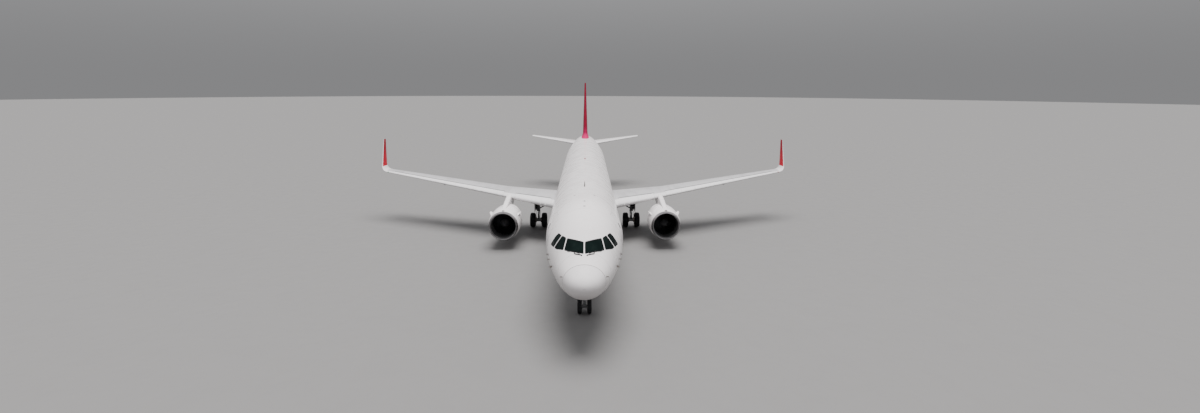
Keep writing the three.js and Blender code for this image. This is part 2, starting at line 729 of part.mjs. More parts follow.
const chordPoint = (out, share) => {
  const section = sectionAt(WING_SECTIONS, 'out', out);
  return aft(section.leading + share * section.chord);
};

// Everything ahead of a share of the chord, or behind it, between two distances out
function wingEdgePrism({ from, to, share }, sign, grow, behind) {
  const edge = behind ? 1 + CHORD_OVERSHOOT : -CHORD_OVERSHOOT;
  const slack = behind ? -grow : grow;
  const outline = [
    [sign * (from - grow), chordPoint(from, share) + slack],
    [sign * (to + grow), chordPoint(to, share) + slack],
    [sign * (to + grow), chordPoint(to, edge)],
    [sign * (from - grow), chordPoint(from, edge)],
  ];
  return planPrism(outline, 0, HEIGHT);
}

// A point of a hinge line on the middle of the section, and the radius of the hinged part's nose
function hingePoint({ sections, span, share, camber }, value, sign) {
  const section = sectionAt(sections, span, value);
  return {
    point: new THREE.Vector3(
      sign * section.out,
      aft(section.leading + share * section.chord),
      section.height + airfoilMiddle(camber, share) * section.chord,
    ),
    nose: HINGE_NOSE_FILL * airfoilHalfHeight(section.depth, share),
  };
}

// The hinged part of a surface, and what has to be cut from the fixed part to leave it free
function hingedSurface(whole, surface, sign) {
  const { point: start, nose: startNose } = hingePoint(surface, surface.from, sign);
  const { point: end, nose: endNose } = hingePoint(surface, surface.to, sign);
  const length = start.distanceTo(end);
  const along = end.clone().sub(start).normalize();
  const back = new THREE.Vector3(0, 1, 0).addScaledVector(along, -along.y).normalize();
  const across = along.clone().cross(back);
  const at = (distance) => start.clone().addScaledVector(along, distance).toArray();
  const slab = (near, far) => {
    const geometry = new THREE.BoxGeometry(SURFACE_REACH, SURFACE_REACH, far - near);
    geometry.translate(SURFACE_REACH / 2, 0, (near + far) / 2);
    geometry.applyMatrix4(new THREE.Matrix4().makeBasis(back, across, along));
    return solidFrom(geometry.translate(start.x, start.y, start.z));
  };
  const bar = (inset, grow) => rod(
    at(inset),
    at(length - inset),
    startNose + grow,
    endNose + grow,
    COVE_SEGMENTS,
  );
  const pin = rod(at(FIXED_GAP), at(length - FIXED_GAP), HINGE_PIN_RADIUS);
  const blade = whole.intersect(slab(HINGE_GAP, length - HINGE_GAP));
  return {
    moving: join([blade, bar(HINGE_GAP, 0).intersect(whole), pin]),
    cutter: slab(0, length).add(bar(0, HINGE_GAP)),
  };
}

function trackFairing({ out, length, radius }, sign) {
  const section = sectionAt(WING_SECTIONS, 'out', out);
  const end = section.leading + section.chord + TRACK_OVERHANG;
  const profile = TRACK_SHAPE.map(([along, wide]) => [along * length, wide * radius]);
  const height = section.height - TRACK_SINK * radius;
  return turnedAlongY(profile, ROD_SEGMENTS, sign * out, aft(end - length), height);
}

const grownWings = {};

function addWings() {
  for (const { side, sign } of SIDES) {
    grownWings[side] = wingSolid(WING_SECTIONS, sign, FIXED_GAP);
    const whole = cut(wingSolid(WING_SECTIONS, sign), [grownFuselage, grownFairing]);
    const aileron = hingedSurface(whole, AILERON, sign);
    const cutters = [aileron.cutter];
    for (const slat of SLATS) {
      const panel = whole.intersect(wingEdgePrism(slat, sign, 0, false));
      addPiece(`slat_${slat.place}_${side}`, panel, 'slatWhite');
      cutters.push(wingEdgePrism(slat, sign, FIXED_GAP, false));
    }
    let fairings = join(TRACK_FAIRINGS.map((fairing) => trackFairing(fairing, sign)));
    for (const flap of FLAPS) {
      const panel = whole.intersect(wingEdgePrism(flap, sign, 0, true));
      addPiece(`flap_${flap.place}_${side}`, panel, 'wingGrey');
      const cutter = wingEdgePrism(flap, sign, FIXED_GAP, true);
      cutters.push(cutter);
      fairings = fairings.subtract(grownWings[side].intersect(cutter));
    }
    const jack = sectionAt(WING_SECTIONS, 'out', WING_JACK.out);
    const underside = jack.height + (airfoilMiddle(CAMBER, WING_JACK.share) * jack.chord
      - airfoilHalfHeight(jack.depth, WING_JACK.share));
    const pad = jackPad(sign * WING_JACK.out, chordPoint(WING_JACK.out, WING_JACK.share), underside);
    addPiece(`wing_${side}`, join([cut(whole, cutters), fairings, pad]), 'wingGrey');
    addPiece(`aileron_${side}`, aileron.moving, 'wingGrey');
    addPiece(`winglet_${side}`, wingSolid(WINGLET_SECTIONS, sign, 0), 'wingletRed');
  }
}

function addTail() {
  for (const { side, sign } of SIDES) {
    const whole = wingSolid(STABILIZER_SECTIONS, sign, 0, 0).subtract(grownFuselage);
    const elevator = hingedSurface(whole, ELEVATOR, sign);
    addPiece(`stabilizer_${side}`, whole.subtract(elevator.cutter), 'fuselageWhite');
    addPiece(`elevator_${side}`, elevator.moving, 'fuselageWhite');
  }
  const crown = fuselageValue('crown', DORSAL.start);
  const dorsal = sidePrism([
    [aft(DORSAL.start), crown - DORSAL.startSink],
    [aft(DORSAL.end), crown - DORSAL.endSink],
    [aft(DORSAL.end), crown + DORSAL.rise],
  ], -DORSAL.width / 2, DORSAL.width / 2);
  const whole = wingSolid(FIN_SECTIONS, 1, 0, 0).add(dorsal).subtract(grownFuselage);
  const rudder = hingedSurface(whole, RUDDER, 1);
  addPiece('fin', whole.subtract(rudder.cutter), 'finCrimson');
  addPiece('rudder', rudder.moving, 'finCrimson');
}

// Engines

function nacelleSolid(sign, grow, from, to) {
  const outer = NACELLE_OUTER.filter(([y]) => y >= from && y <= to).map(([y, r]) => [y, r + grow]);
  const inner = NACELLE_INNER.filter(([y]) => y >= from && y <= to).map(([y, r]) => [y, r - grow]);
  const profile = [...outer, ...inner, outer[0]];
  return turnedAlongY(profile, NACELLE_SEGMENTS, sign * ENGINE_OUT, aft(INLET_STATION), ENGINE_HEIGHT);
}

function strakes(sign) {
  return SIDES.map(({ sign: half }) => {
    const turn = THREE.MathUtils.degToRad(STRAKE.turn) * half;
    const crest = STRAKE.length * STRAKE.crest;
    const outline = [
      [0, 0], [STRAKE.length, 0], [STRAKE.length, STRAKE.height], [crest, STRAKE.height],
    ];
    const geometry = extruded(outline, STRAKE.thickness);
    geometry.translate(0, STRAKE.foot, -STRAKE.thickness / 2);
    geometry.applyMatrix4(new THREE.Matrix4().makeBasis(
      new THREE.Vector3(0, 1, 0),
      new THREE.Vector3(Math.sin(turn), 0, Math.cos(turn)),
      new THREE.Vector3(Math.cos(turn), 0, -Math.sin(turn)),
    ));
    geometry.translate(sign * ENGINE_OUT, aft(INLET_STATION + STRAKE.start), ENGINE_HEIGHT);
    return solidFrom(geometry);
  });
}

// One fan blade: a ring of four corners at the hub and one at the tip, turned about the engine's axis
function fanBlade(turn, place) {
  const half = FAN_LENGTH * FAN_BLADE_FILL;
  const rings = FAN_BLADE_SECTIONS.map(({ radius, pitch, thick }) => {
    const lean = THREE.MathUtils.degToRad(pitch);
    const corners = [[-half, 0], [0, thick / 2], [half, 0], [0, -thick / 2]];
    return corners.map(([along, across]) => {
      const chordwise = along * Math.sin(lean) * FAN_BLADE_CHORD + across * Math.cos(lean);
      const axial = along * Math.cos(lean) - across * Math.sin(lean);
      const sweep = turn + chordwise / radius;
      return new THREE.Vector3(
        place.x + radius * Math.sin(sweep),
        place.y + FAN_STATION + FAN_LENGTH / 2 + axial,
        place.z + radius * Math.cos(sweep),
      );
    });
  });
  return loft(rings);
}

function fanRotor(place) {
  const back = FAN_STATION + FAN_LENGTH;
  const spinnerTip = FAN_STATION - SPINNER.length;
  const shaftEnd = CORE_FRONT - FIXED_GAP;
  const profile = [
    [spinnerTip, 0], [spinnerTip + SPINNER.tipLength, SPINNER.tipRadius],
    [FAN_STATION, FAN_HUB_RADIUS], [back, FAN_HUB_RADIUS + FAN_HUB_FLARE], [back, FAN_SHAFT_RADIUS],
    [shaftEnd, FAN_SHAFT_RADIUS], [shaftEnd, 0],
  ];
  const blades = Array.from(
    { length: FAN_BLADES },
    (_, i) => fanBlade((2 * Math.PI * i) / FAN_BLADES, place),
  );
  return join([turnedAlongY(profile, ROUND_SEGMENTS, ...place.toArray()), ...blades]);
}

function pylonSolid(sign, side) {
  const outline = PYLON_OUTLINE.map(([along, up]) => [aft(INLET_STATION + along), ENGINE_HEIGHT + up]);
  const low = sign * ENGINE_OUT - PYLON_HALF_WIDTH;
  const block = sidePrism(outline, low, low + 2 * PYLON_HALF_WIDTH);
  const core = CORE_PROFILE.map(([y, r], i) => {
    const isEnd = i === 0 || i === CORE_PROFILE.length - 1;
    return [y, isEnd ? 0 : r + FIXED_GAP];
  });
  return cut(block, [
    grownWings[side],
    nacelleSolid(sign, FIXED_GAP, 0, NACELLE_END),
    turnedAlongY(core, ROUND_SEGMENTS, sign * ENGINE_OUT, aft(INLET_STATION), ENGINE_HEIGHT),
  ]);
}

function addEngines() {
  for (const { side, sign } of SIDES) {
    const place = new THREE.Vector3(sign * ENGINE_OUT, aft(INLET_STATION), ENGINE_HEIGHT);
    const lip = nacelleSolid(sign, 0, 0, LIP_LENGTH);
    const cowl = nacelleSolid(sign, 0, LIP_LENGTH, SLEEVE_START);
    const sleeve = nacelleSolid(sign, 0, SLEEVE_START, NACELLE_END);
    const core = turnedAlongY(CORE_PROFILE, ROUND_SEGMENTS, ...place.toArray());
    const [behindLip, behindCowl] = [LIP_LENGTH, SLEEVE_START].map((along) => (
      stationSlab(INLET_STATION + along - FIXED_GAP, LENGTH)
    ));
    addPiece(`inlet_lip_${side}`, lip.subtract(behindLip), 'bareMetal');
    addPiece(`fan_cowl_${side}`, join([cowl.subtract(behindCowl), ...strakes(sign)]), 'fuselageWhite');
    addPiece(`reverser_sleeve_${side}`, sleeve, 'fuselageWhite');
    addPiece(`fan_${side}`, fanRotor(place), 'fanMetal');
    addPiece(`engine_core_${side}`, core, 'darkMetal');
    addPiece(`pylon_${side}`, pylonSolid(sign, side), 'fuselageWhite');
  }
}

// Landing gear

// A tyre's closed cross-section, as distance along the axle and radius: the flats of its tread touch
// the ground, as a loaded tyre's contact patch does
function tyreProfile(wheel) {
  const rim = wheel.rimRadius + FIXED_GAP;
  const height = wheel.radius / Math.cos(Math.PI / TYRE_SEGMENTS) - rim;
  const profile = TYRE_SHAPE.map(([along, up]) => [(along * wheel.width) / 2, rim + up * height]);
  return [...profile, profile[0]];
}

// Two rims on one axle, as one turned profile that ends on the axis
function wheelPairProfile(wheel) {
  const inner = wheel.spacing / 2 - wheel.rimWidth / 2;
  const outer = wheel.spacing / 2 + wheel.rimWidth / 2;
  const dish = outer - wheel.rimWidth * WHEEL_DISH.depth;
  const half = [
    [0, wheel.axleRadius], [inner, wheel.axleRadius],
    [inner, wheel.rimRadius], [outer, wheel.rimRadius], [dish, wheel.rimRadius * WHEEL_DISH.edge],
    [dish, wheel.hubRadius], [outer, wheel.hubRadius * WHEEL_DISH.cap], [outer, 0],
  ];
  const mirrored = half.slice(1).toReversed().map(([along, radius]) => [-along, radius]);
  return [...mirrored, ...half];
}

function addWheelPair(name, tyreNames, wheel, x, station) {
  const [y, z] = [aft(station), wheel.radius];
  addPiece(name, turnedAlongX(wheelPairProfile(wheel), TYRE_SEGMENTS, x, y, z), 'wheelRim');
  [-1, 1].forEach((end, i) => {
    const tyreX = x + (end * wheel.spacing) / 2;
    addPiece(tyreNames[i], turnedAlongX(tyreProfile(wheel), TYRE_SEGMENTS, tyreX, y, z), 'tyre');
  });
}

function axleBoss(wheel, leg, x, station) {
  const bore = wheel.axleRadius + AXLE_PLAY;
  const half = leg.bossLength / 2;
  const profile = [[-half, bore], [-half, leg.boss], [half, leg.boss], [half, bore], [-half, bore]];
  return turnedAlongX(profile, ROUND_SEGMENTS, x, aft(station), wheel.radius);
}

function gearRods(rows, x, y, sign) {
  const end = ([inboard, behind, height]) => [x - sign * inboard, y + behind, height];
  return rows.map(({ radius, from, to }) => rod(end(from), end(to), radius));
}

// A flat door beside the leg at X and Y
function gearDoor({ outline, thickness }, innerX, y, sign) {
  const walls = [innerX, innerX + sign * thickness].sort((a, b) => a - b);
  return sidePrism(outline.map(([behind, height]) => [y + behind, height]), ...walls);
}

function addMainGear() {
  const y = aft(MAIN_GEAR_STATION);
  const neck = MAIN_WHEEL.radius + MAIN_LEG.boss - MAIN_LEG.overlap;
  for (const { side, sign } of SIDES) {
    const x = sign * MAIN_GEAR_OUT;
    const leg = join([
      axleBoss(MAIN_WHEEL, MAIN_LEG, x, MAIN_GEAR_STATION),
      rod([x, y, neck], [x, y, MAIN_LEG.pistonTop], MAIN_LEG.pistonRadius),
      rod([x, y, MAIN_LEG.pistonTop], [x, y, MAIN_LEG.top], MAIN_LEG.radius),
      ...gearRods(MAIN_RODS, x, y, sign),
    ]);
    addPiece(`main_leg_${side}`, cut(leg, [grownWings[side], grownFairing, grownFuselage]), 'gearSteel');
    const doorX = x + sign * (MAIN_LEG.radius + MAIN_LEG_DOOR.standOff);
    const bracketX = x + sign * (MAIN_LEG.radius + FIXED_GAP);
    const brackets = MAIN_LEG_DOOR.bracketHeights.map((height) => (
      rod([bracketX, y, height], [doorX, y, height], MAIN_LEG_DOOR.bracketRadius)
    ));
    const panel = gearDoor(MAIN_LEG_DOOR, doorX, y, sign).subtract(grownWings[side]);
    addPiece(`main_leg_door_${side}`, join([panel, ...brackets]), 'fuselageWhite');
    const tyres = ['inner', 'outer'].map((place) => `main_tyre_${side}_${place}`);
    if (sign < 0) tyres.reverse();
    addWheelPair(`main_wheels_${side}`, tyres, MAIN_WHEEL, x, MAIN_GEAR_STATION);
  }
}

function addNoseGear() {
  const y = aft(NOSE_GEAR_STATION);
  const axle = NOSE_WHEEL.radius;
  const neck = axle + NOSE_LEG.boss - NOSE_LEG.overlap;
  const fork = join([
    axleBoss(NOSE_WHEEL, NOSE_LEG, 0, NOSE_GEAR_STATION),
    rod([0, y, neck], [0, y, NOSE_LEG.split], NOSE_LEG.pistonRadius),
    ...gearRods(NOSE_FORK_RODS, 0, y, 1),
    box(
      [-TOW_FITTING.width / 2, y - TOW_FITTING.ahead, axle - TOW_FITTING.height / 2],
      [TOW_FITTING.width / 2, y - NOSE_LEG.boss + NOSE_LEG.overlap, axle + TOW_FITTING.height / 2],
    ),
  ]);
  addPiece('nose_fork', fork, 'gearSteel');
  const leg = join([
    rod([0, y, NOSE_LEG.split + FIXED_GAP], [0, y, NOSE_LEG.top], NOSE_LEG.radius),
    ...gearRods(NOSE_LEG_RODS, 0, y, 1),
  ]);
  addPiece('nose_leg', leg.subtract(grownFuselage.subtract(noseBay(FIXED_GAP))), 'gearSteel');
  for (const { side, sign } of SIDES) {
    const panel = gearDoor(NOSE_GEAR_DOOR, sign * NOSE_GEAR_DOOR.out, y, sign);
    addPiece(`nose_gear_door_${side}`, panel.subtract(grownFuselage), 'fuselageWhite');
  }
  addWheelPair('nose_wheels', ['nose_tyre_right', 'nose_tyre_left'], NOSE_WHEEL, 0, NOSE_GEAR_STATION);
}

addFuselage();
addTailCone();
addDoors();
addBellyFairing();
addWings();
addTail();
addEngines();
addMainGear();
addNoseGear();

export default aircraft;
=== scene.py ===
"""Looks of the stretched narrow-body twin-jet airliner, a 1:2 scale model parked on its gear.

Sizes are those of the full-size aircraft in millimetres, as in the part's source, and UNIT turns them
into metres of the model. +X is the aircraft's left, +Y is aft and +Z is up. A station is the distance
aft of the nose tip.
"""

import math
import random

import bmesh
import bpy
import numpy as np
from mathutils import Matrix, Vector


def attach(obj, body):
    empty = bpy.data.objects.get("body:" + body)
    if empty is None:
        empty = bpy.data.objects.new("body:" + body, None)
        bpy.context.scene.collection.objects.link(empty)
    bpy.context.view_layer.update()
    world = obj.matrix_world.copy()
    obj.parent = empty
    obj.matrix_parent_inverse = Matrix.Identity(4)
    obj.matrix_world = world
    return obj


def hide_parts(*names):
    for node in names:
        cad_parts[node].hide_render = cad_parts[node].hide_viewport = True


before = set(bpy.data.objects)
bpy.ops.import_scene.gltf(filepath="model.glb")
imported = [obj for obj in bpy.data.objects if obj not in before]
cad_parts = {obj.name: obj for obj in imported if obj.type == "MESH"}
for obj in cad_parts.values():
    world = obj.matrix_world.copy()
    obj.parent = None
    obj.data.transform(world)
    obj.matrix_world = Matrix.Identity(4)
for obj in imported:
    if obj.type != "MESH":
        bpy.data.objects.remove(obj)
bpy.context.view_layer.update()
random.seed(7)

UNIT = 0.5 / 1000
LENGTH = 44510
HEIGHT = 11760
NOSE_GEAR_STATION = 5070
MAIN_GEAR_STATION = 21970
MAIN_GEAR_OUT = 3795
ENGINE_OUT = 5750
ENGINE_HEIGHT = 1700
INLET_STATION = 15670
SIDES = (("left", 1), ("right", -1))
SEAM = 7
TURN = 2 * math.pi
UNDIVIDED = 1e9
MERGE_DISTANCE = 2e-6
BEVEL = {"segments": 2, "angle": 40}
NORMAL_WEIGHT = 80

# A paint is the number of a material in its piece's list
PAINT_SLOTS = 4
FIRST, SECOND, THIRD, FOURTH = range(PAINT_SLOTS)

# Fuselage sections: station, half width, crown height, keel height, height of the widest point
FUSELAGE_SECTIONS = np.array([
    (0, 0, 3250, 3250, 3250), (250, 540, 3670, 2820, 3240), (1000, 950, 4045, 2420, 3260),
    (1700, 1220, 4425, 2190, 3330), (2250, 1375, 4815, 2030, 3400), (3000, 1575, 5270, 1895, 3540),
    (4200, 1825, 5690, 1770, 3700), (6000, 1975, 5870, 1730, 3800), (31000, 1975, 5870, 1730, 3800),
    (34000, 1920, 5870, 2080, 3930), (37000, 1660, 5860, 2800, 4250), (40000, 1270, 5800, 3530, 4620),
    (42500, 820, 5620, 4160, 4880), (LENGTH, 330, 5280, 4680, 4980),
], float)
HALF_WIDTH, CROWN, KEEL, WAIST = 1, 2, 3, 4
BARREL_START, BARREL_END = 6000, 31000
BARREL_RADIUS = 1975
RADOME_STATION = 940
TAIL_CONE_STATION = 43600
FUSELAGE_SIDES = 144
NOSE_RINGS, BARREL_RINGS, TAIL_RINGS = 40, 26, 34
RADOME_TIP, RADOME_RINGS, CONE_RINGS = 2, 34, 14

# Cockpit panes on one side, front to rear: corners as station, distance out and height, on the skin
COCKPIT_PANES = (
    ((1530, 42, 4325), (2028, 888, 4330), (2464, 762, 4725), (2056, 42, 4676)),
    ((2112, 946, 4325), (2592, 1293, 4218), (2762, 1356, 4231), (2785, 1000, 4751), (2535, 832, 4725)),
    ((2888, 1410, 4219), (3344, 1565, 4202), (3218, 1328, 4612), (3170, 1193, 4764), (2862, 1053, 4751)),
)

# Wipers on one side: stations and distances out
WIPER_ARM = ((1440, 121), (1500, 260), (1560, 390), (1645, 440))
WIPER_BLADE = ((1550, 200), (1668, 400), (1787, 602), (1875, 750))

# Doors: name, centre station, sill height, width and height
PASSENGER_DOORS = (("forward", 5000, 3410, 810, 1850), ("aft", 36600, 3560, 760, 1760))
MID_EXITS = ((14050, 3480, 740, 1560), (27500, 3480, 740, 1560))
CARGO_DOORS = (("forward", 9200, 2110, 1820, 1210), ("aft", 29700, 2110, 1820, 1210))
DOOR_GAP = 14
DOOR_CORNER, PANEL_CORNER, EXIT_CORNER = 150, 145, 130
EXIT_LINE = 9

# Small outlines on doors: width, height, corner radius and spacing, and lines round windows and handles
DOOR_WINDOW = (190, 270, 80, 60)
DOOR_HANDLE, DOOR_HANDLE_LINE = (260, 110, 40, 60), 9
DOOR_GRIP = (190, 26, 12, 60)
DOOR_VENT = (70, 34, 10, 40)
EXIT_HANDLE, EXIT_HANDLE_LINE = (200, 70, 24, 60), 8
CARGO_HANDLE, CARGO_HANDLE_LINE, CARGO_HANDLE_INSET = (210, 80, 18, 60), 8, 22
DOOR_WINDOW_LINE, EXIT_WINDOW_LINE, WINDOW_LAP = 16, 14, 2
# Places of trim as shares of a door's width, from its middle, and of its height, from its sill
DOOR_TRIM = {
    "window": 0.66, "handle": (-0.12, 0.44), "vents": ((0.28, 0.12), (0.28, 0.88)), "exit": 0.3,
    "cargo": 0.16,
}

# Cabin windows: first and last station, spacing, height of the middle, and size of one
WINDOW_ROW = {
    "first": 6350, "last": 35300, "pitch": 533, "height": 4290, "width": 235, "tall": 335, "corner": 95,
    "glass_inset": 14, "frame": 16,
}
EXIT_CLEARANCE = 480
SHADE_SHARE = 0.16
SHADE_DROPS = (0.3, 0.55, 0.8)

# Cockpit panes: rounding of the outline, its growth, the frame's width, its lap, and flatness
PANE_ROUNDING = 45
PANE_GROWTH = 28
PANE_SEAL = 42
PANE_LAP = 4
PANE_FLATNESS = 0.8

# Pieces that follow the skin: lift of the outer face and of the inner one
LAYER = {
    "window_pocket": (40, -24), "window_glass": (-14, -20), "window_frame": (-9, -22),
    "shade": (-12.5, -14.5), "exit_line": (30, -14), "door_pocket": (40, -45), "door_panel": (0, -42),
    "pane_pocket": (60, -32), "pane": (-7, -24), "pane_seal": (-2, -30),
    "glass": (1.5, -4), "frame": (3, -3), "line": (2, -3),
    "grip": (8, -2), "vent": (1.5, -3), "cargo_line": (1.5, -3), "cargo_plate": (2.5, -2),
    "spoiler": (0, -26), "spoiler_pocket": (30, -30),
}

# Wing sections: distance out, leading and trailing edge stations, height, lean, thickness over chord
WING_SECTIONS = (
    (1000, 16700, 23200, 2668, 0, 0.145), (6400, 19452, 23200, 3149, 0, 0.12),
    (17050, 24878, 26380, 4100, 0, 0.11),
)
WINGLET_SECTIONS = (
    (17050.6, 24878, 26380, 4100, 0, 0.11), (17330, 25060, 26470, 4180, 25, 0.105),
    (17540, 25330, 26600, 4400, 58, 0.10), (17640, 25620, 26730, 4720, 78, 0.10),
    (17882, 26900, 27400, 6690, 84, 0.09),
)
STABILIZER_SECTIONS = ((500, 38540, 42690, 4948, 0, 0.10), (6225, 42240, 43550, 5550, 0, 0.095))
FIN_SECTIONS = ((0, 36820, 42960, 5300, 90, 0.095), (0, 42250, 43950, HEIGHT, 90, 0.095))
OUT, LEADING, TRAILING, UP, LEAN, THICKNESS = range(6)
CAMBER = 0.012
AIRFOIL_POINTS = 25
WING_RIBS = 14
BEND = 120
EDGE_PANELS = 6
WINGLET_EDGE = 4
WINGLET_BLEND = 17
DORSAL = {"foot": 5850, "top": 6310, "reach": 1580, "power": 1.9, "flare": 0.45, "most": 1.2}
DORSAL_RINGS, FIN_RINGS = 14, 9

# Pieces of the wing's edges: name, span from, span to, and share of the chord
SLATS = (("inboard", 2500, 5300, 0.13), ("outboard", 6250, 16300, 0.16))
FLAPS = (("inboard", 2350, 6340, 0.80), ("outboard", 6460, 12900, 0.76))
PAST_EDGE = 0.3
SLAT_JOINTS = (8750, 11270, 13790)
SPOILERS = ((3300, 6050), (6750, 8150), (8230, 9630), (9710, 11110), (11190, 12590))
SPOILER_CHORD = (0.635, 0.745)
SPOILER_GAP = 6

# Track fairings: distance out, length and half depth, and the shape of one as shares of these
TRACK_FAIRINGS = ((4700, 2500, 190), (8300, 2900, 210), (11600, 2500, 180))
TRACK_SHAPE = ((0, 0), (0.08, 0.45), (0.3, 0.92), (0.5, 1), (0.8, 0.6), (1, 0))
TRACK_OVERHANG = 350
TRACK_SQUASH = (0.72, 1, 1.12)
TRACK_DROP = 1.05

# Hinged surfaces: sections, column of the span, hinge line from, to, share of the chord, camber
AILERON = (WING_SECTIONS, OUT, 13150, 16350, 0.75, CAMBER)
ELEVATOR = (STABILIZER_SECTIONS, OUT, 1400, 5950, 0.68, 0)
RUDDER = (FIN_SECTIONS, UP, 6320, 11480, 0.70, 0)
HINGE_GAP = 16
HINGE_NOSE_FILL = 0.985
HINGE_NOSE_POINTS = 25
HINGE_PIN_RADIUS = 20
PIN_INSET = 1
SURFACE_REACH = 2500

# Cargo doors and bays: inner wall, slope and reach of the sill cut, lining, hinge, and ribs as shares
CARGO = {"inner": 250, "slope": 53, "reach": 400, "thickness": 110, "sill": 1.2, "hinge_inset": 20, "pin": 15}
CARGO_TOP_GAP = 22
CARGO_PANEL_REACH = 0.7
RUNNING_GAP = 12
CARGO_UPRIGHTS = {
    "places": (-0.4, -0.2, 0, 0.2, 0.4), "middle": 0.46, "width": 40, "height": 0.58, "depth": 18,
}
CARGO_RAILS = {"places": (0.25, 0.62), "width": 0.86, "height": 36, "depth": 14}
RIB_LAP = 2

# Bays, wells and jacking pads
NOSE_BAY = {"half": 235, "ahead": 330, "behind": 780, "roof": 2200}
WHEEL_WELL = {"out": 1130, "radius": 620, "roof": 1600, "sides": 72}
WELL_PIPES = {"spreads": (-260, -90, 110, 290), "reach": 0.9, "below": 30, "radius": 16, "growth": 30}
WELL_BOX = ((-220, -180, -110), (60, 120, 10))
WELL_RING = {"profile": ((-8, -2), (-8, 22), (4, 22), (4, -2), (-8, -2)), "below": 24}
JACK_PAD = {"radius": 70, "drop": 25, "rise": 100}
JACK_STATIONS = (7000, 30900)
WING_JACK = {"out": 7500, "share": 0.42}
EXHAUST = {"radius": 190, "depth": 600, "beyond": 200}

# The fairing under the wing's root: station, half width, top and bottom
FAIRING_SECTIONS = (
    (14700, 900, 2300, 1760), (15900, 1750, 2700, 1560), (17600, 2200, 3050, 1370), (20000, 2300, 3150, 1330),
    (23600, 2250, 3050, 1370), (25400, 1800, 2700, 1540), (27000, 900, 2300, 1760),
)
FAIRING_SQUARENESS = 2.8
FAIRING_POINTS = 96

# Engine profiles: distance aft of the inlet face, and radius
NACELLE_OUTER = (
    (0, 950), (30, 985), (90, 1012), (210, 1044), (600, 1105), (1200, 1140), (1750, 1130), (2300, 1086),
    (3050, 975),
)
NACELLE_INNER = (
    (3050, 950), (2400, 960), (1750, 924), (900, 880), (450, 850), (210, 866), (90, 897), (30, 922),
)
# Pieces of the nacelle: rows of the outer profile from and to, and of the inner profile from and to
LIP_ROWS, COWL_ROWS, SLEEVE_ROWS = (0, 3, 5, 8), (3, 6, 2, 5), (6, 8, 0, 2)
NACELLE_STEPS = 5
NACELLE_SIDES = 96
CORE_NOZZLE = ((1320, 400), (1800, 600), (2500, 690), (3100, 640), (3500, 520), (3750, 440))
CORE_STEP = ((3650, 415), (3650, 335))
CORE_PLUG = ((3650, 350), (3900, 250), (4450, 30), (4460, 1))
FAN = {"station": 980, "radius": 860, "hub": 290, "sunk": 20, "length": 200, "shaft": 120, "blades": 24}
FAN_BLADE = {
    "root_pitch": 25, "tip_pitch": 60, "half_chord": 104, "root_thickness": 26, "tip_thickness": 9, "bow": 12,
    "bow_loss": 0.4, "sweep": 0.10, "rings": 9, "points": 14,
}
SPINNER = ((-480, 1), (-455, 34), (-380, 96), (-190, 205))
SPINNER_BOLTS = {"count": 18, "radius": 9, "front": (-64, 260), "back": (-40, 268)}
GUIDE_VANES = {
    "count": 40, "station": 1590, "turn": 52, "half_thickness": 5,
    "outline": ((-85, 560), (85, 560), (85, 912), (-85, 904)),
}
STRAKE = {
    "start": 650, "length": 1000, "foot": 1075, "height": 250, "crest": 0.6, "thickness": 24, "turn": 57,
    "rounding": 60,
}
COWL_GIRTH_RADIUS = 1100
COWL_LATCHES = {"stations": (520, 900, 1280, 1560), "half": 34, "length": 90, "low": -1146, "high": -1104}
# Panel lines on the cowl: middle aft and round, length, width, corner radius, spacing, line width and lift
COWL_LINES = (
    (1050, -1000, 330, 260, 40, 40, 7, 2.5), (1050, 1250, 330, 260, 40, 40, 7, 2.5),
    (980, 3240, 1500, 26, 6, 90, 6, 1.5),
)
# The vent under the cowl: height and radius of its ring and of its bowl, and its place
VENT_RING = ((1082, 92), (1096, 92), (1096, 76), (1076, 72), (1076, 1))
VENT_BOWL = ((1078, 1), (1084, 68), (1077, 68), (1070, 1))
VENT_PLACE = (0, 330, -10)
# The pylon: distance aft of the inlet face, and height above the engine's axis or half width
PYLON_TOP = (
    (700, 1082), (1000, 1190), (1700, 1330), (2500, 1460), (3300, 1570), (3900, 1600), (4700, 1450),
    (6700, 1160),
)
PYLON_BOTTOM = (
    (700, 1070), (1500, 1040), (2290, 1010), (2300, 560), (3600, 420), (4300, 610), (5600, 960), (6700, 1150),
)
PYLON_WIDTH = (
    (700, 80), (820, 140), (1300, 175), (2000, 195), (3000, 200), (5000, 190), (6000, 130), (6700, 40),
)
PYLON_RINGS = 40
PYLON_ROUNDING = {"of_half": 0.8, "of_height": 0.45}

# Landing gear
MAIN_WHEEL = {
    "radius": 585, "width": 430, "spacing": 927, "rim": 285, "rim_width": 340, "axle": 60, "hub": 110,
}
NOSE_WHEEL = {
    "radius": 385, "width": 222, "spacing": 500, "rim": 190, "rim_width": 176, "axle": 38, "hub": 70,
}
AXLE_PLAY = 1.2
DISH = 0.25
TYRE_SHAPE = ((-0.74, 0), (-1, 0.5), (-0.72, 0.93), (0, 1), (0.72, 0.93), (1, 0.5), (0.74, 0))
TREAD_GROOVES = {"centres": (-0.22, -0.08, 0.08, 0.22), "half": 0.018, "above": 0.9, "depth": 0.035}
# A rim's profile: level along the axle and distance from it, then radius, its share and distance from that
RIM_PROFILE = (
    ("inner", 0, "axle", 1, 0), ("inner", 0, "rim", 1, -3), ("inner", 12, "rim", 1, -1),
    ("outer", -12, "rim", 1, -1), ("outer", 0, "rim", 1, -8), ("outer", -4, "rim", 0.93, 0),
    ("dish", 14, "rim", 0.86, 0), ("dish", 0, "rim", 0.74, 0), ("dish", -6, "hub", 1.5, 0),
    ("dish", 16, "hub", 1.05, 0), ("outer", -8, "hub", 0.92, 0), ("outer", 0, "hub", 0.7, 0),
    ("outer", 0, "hub", 0, 1),
)
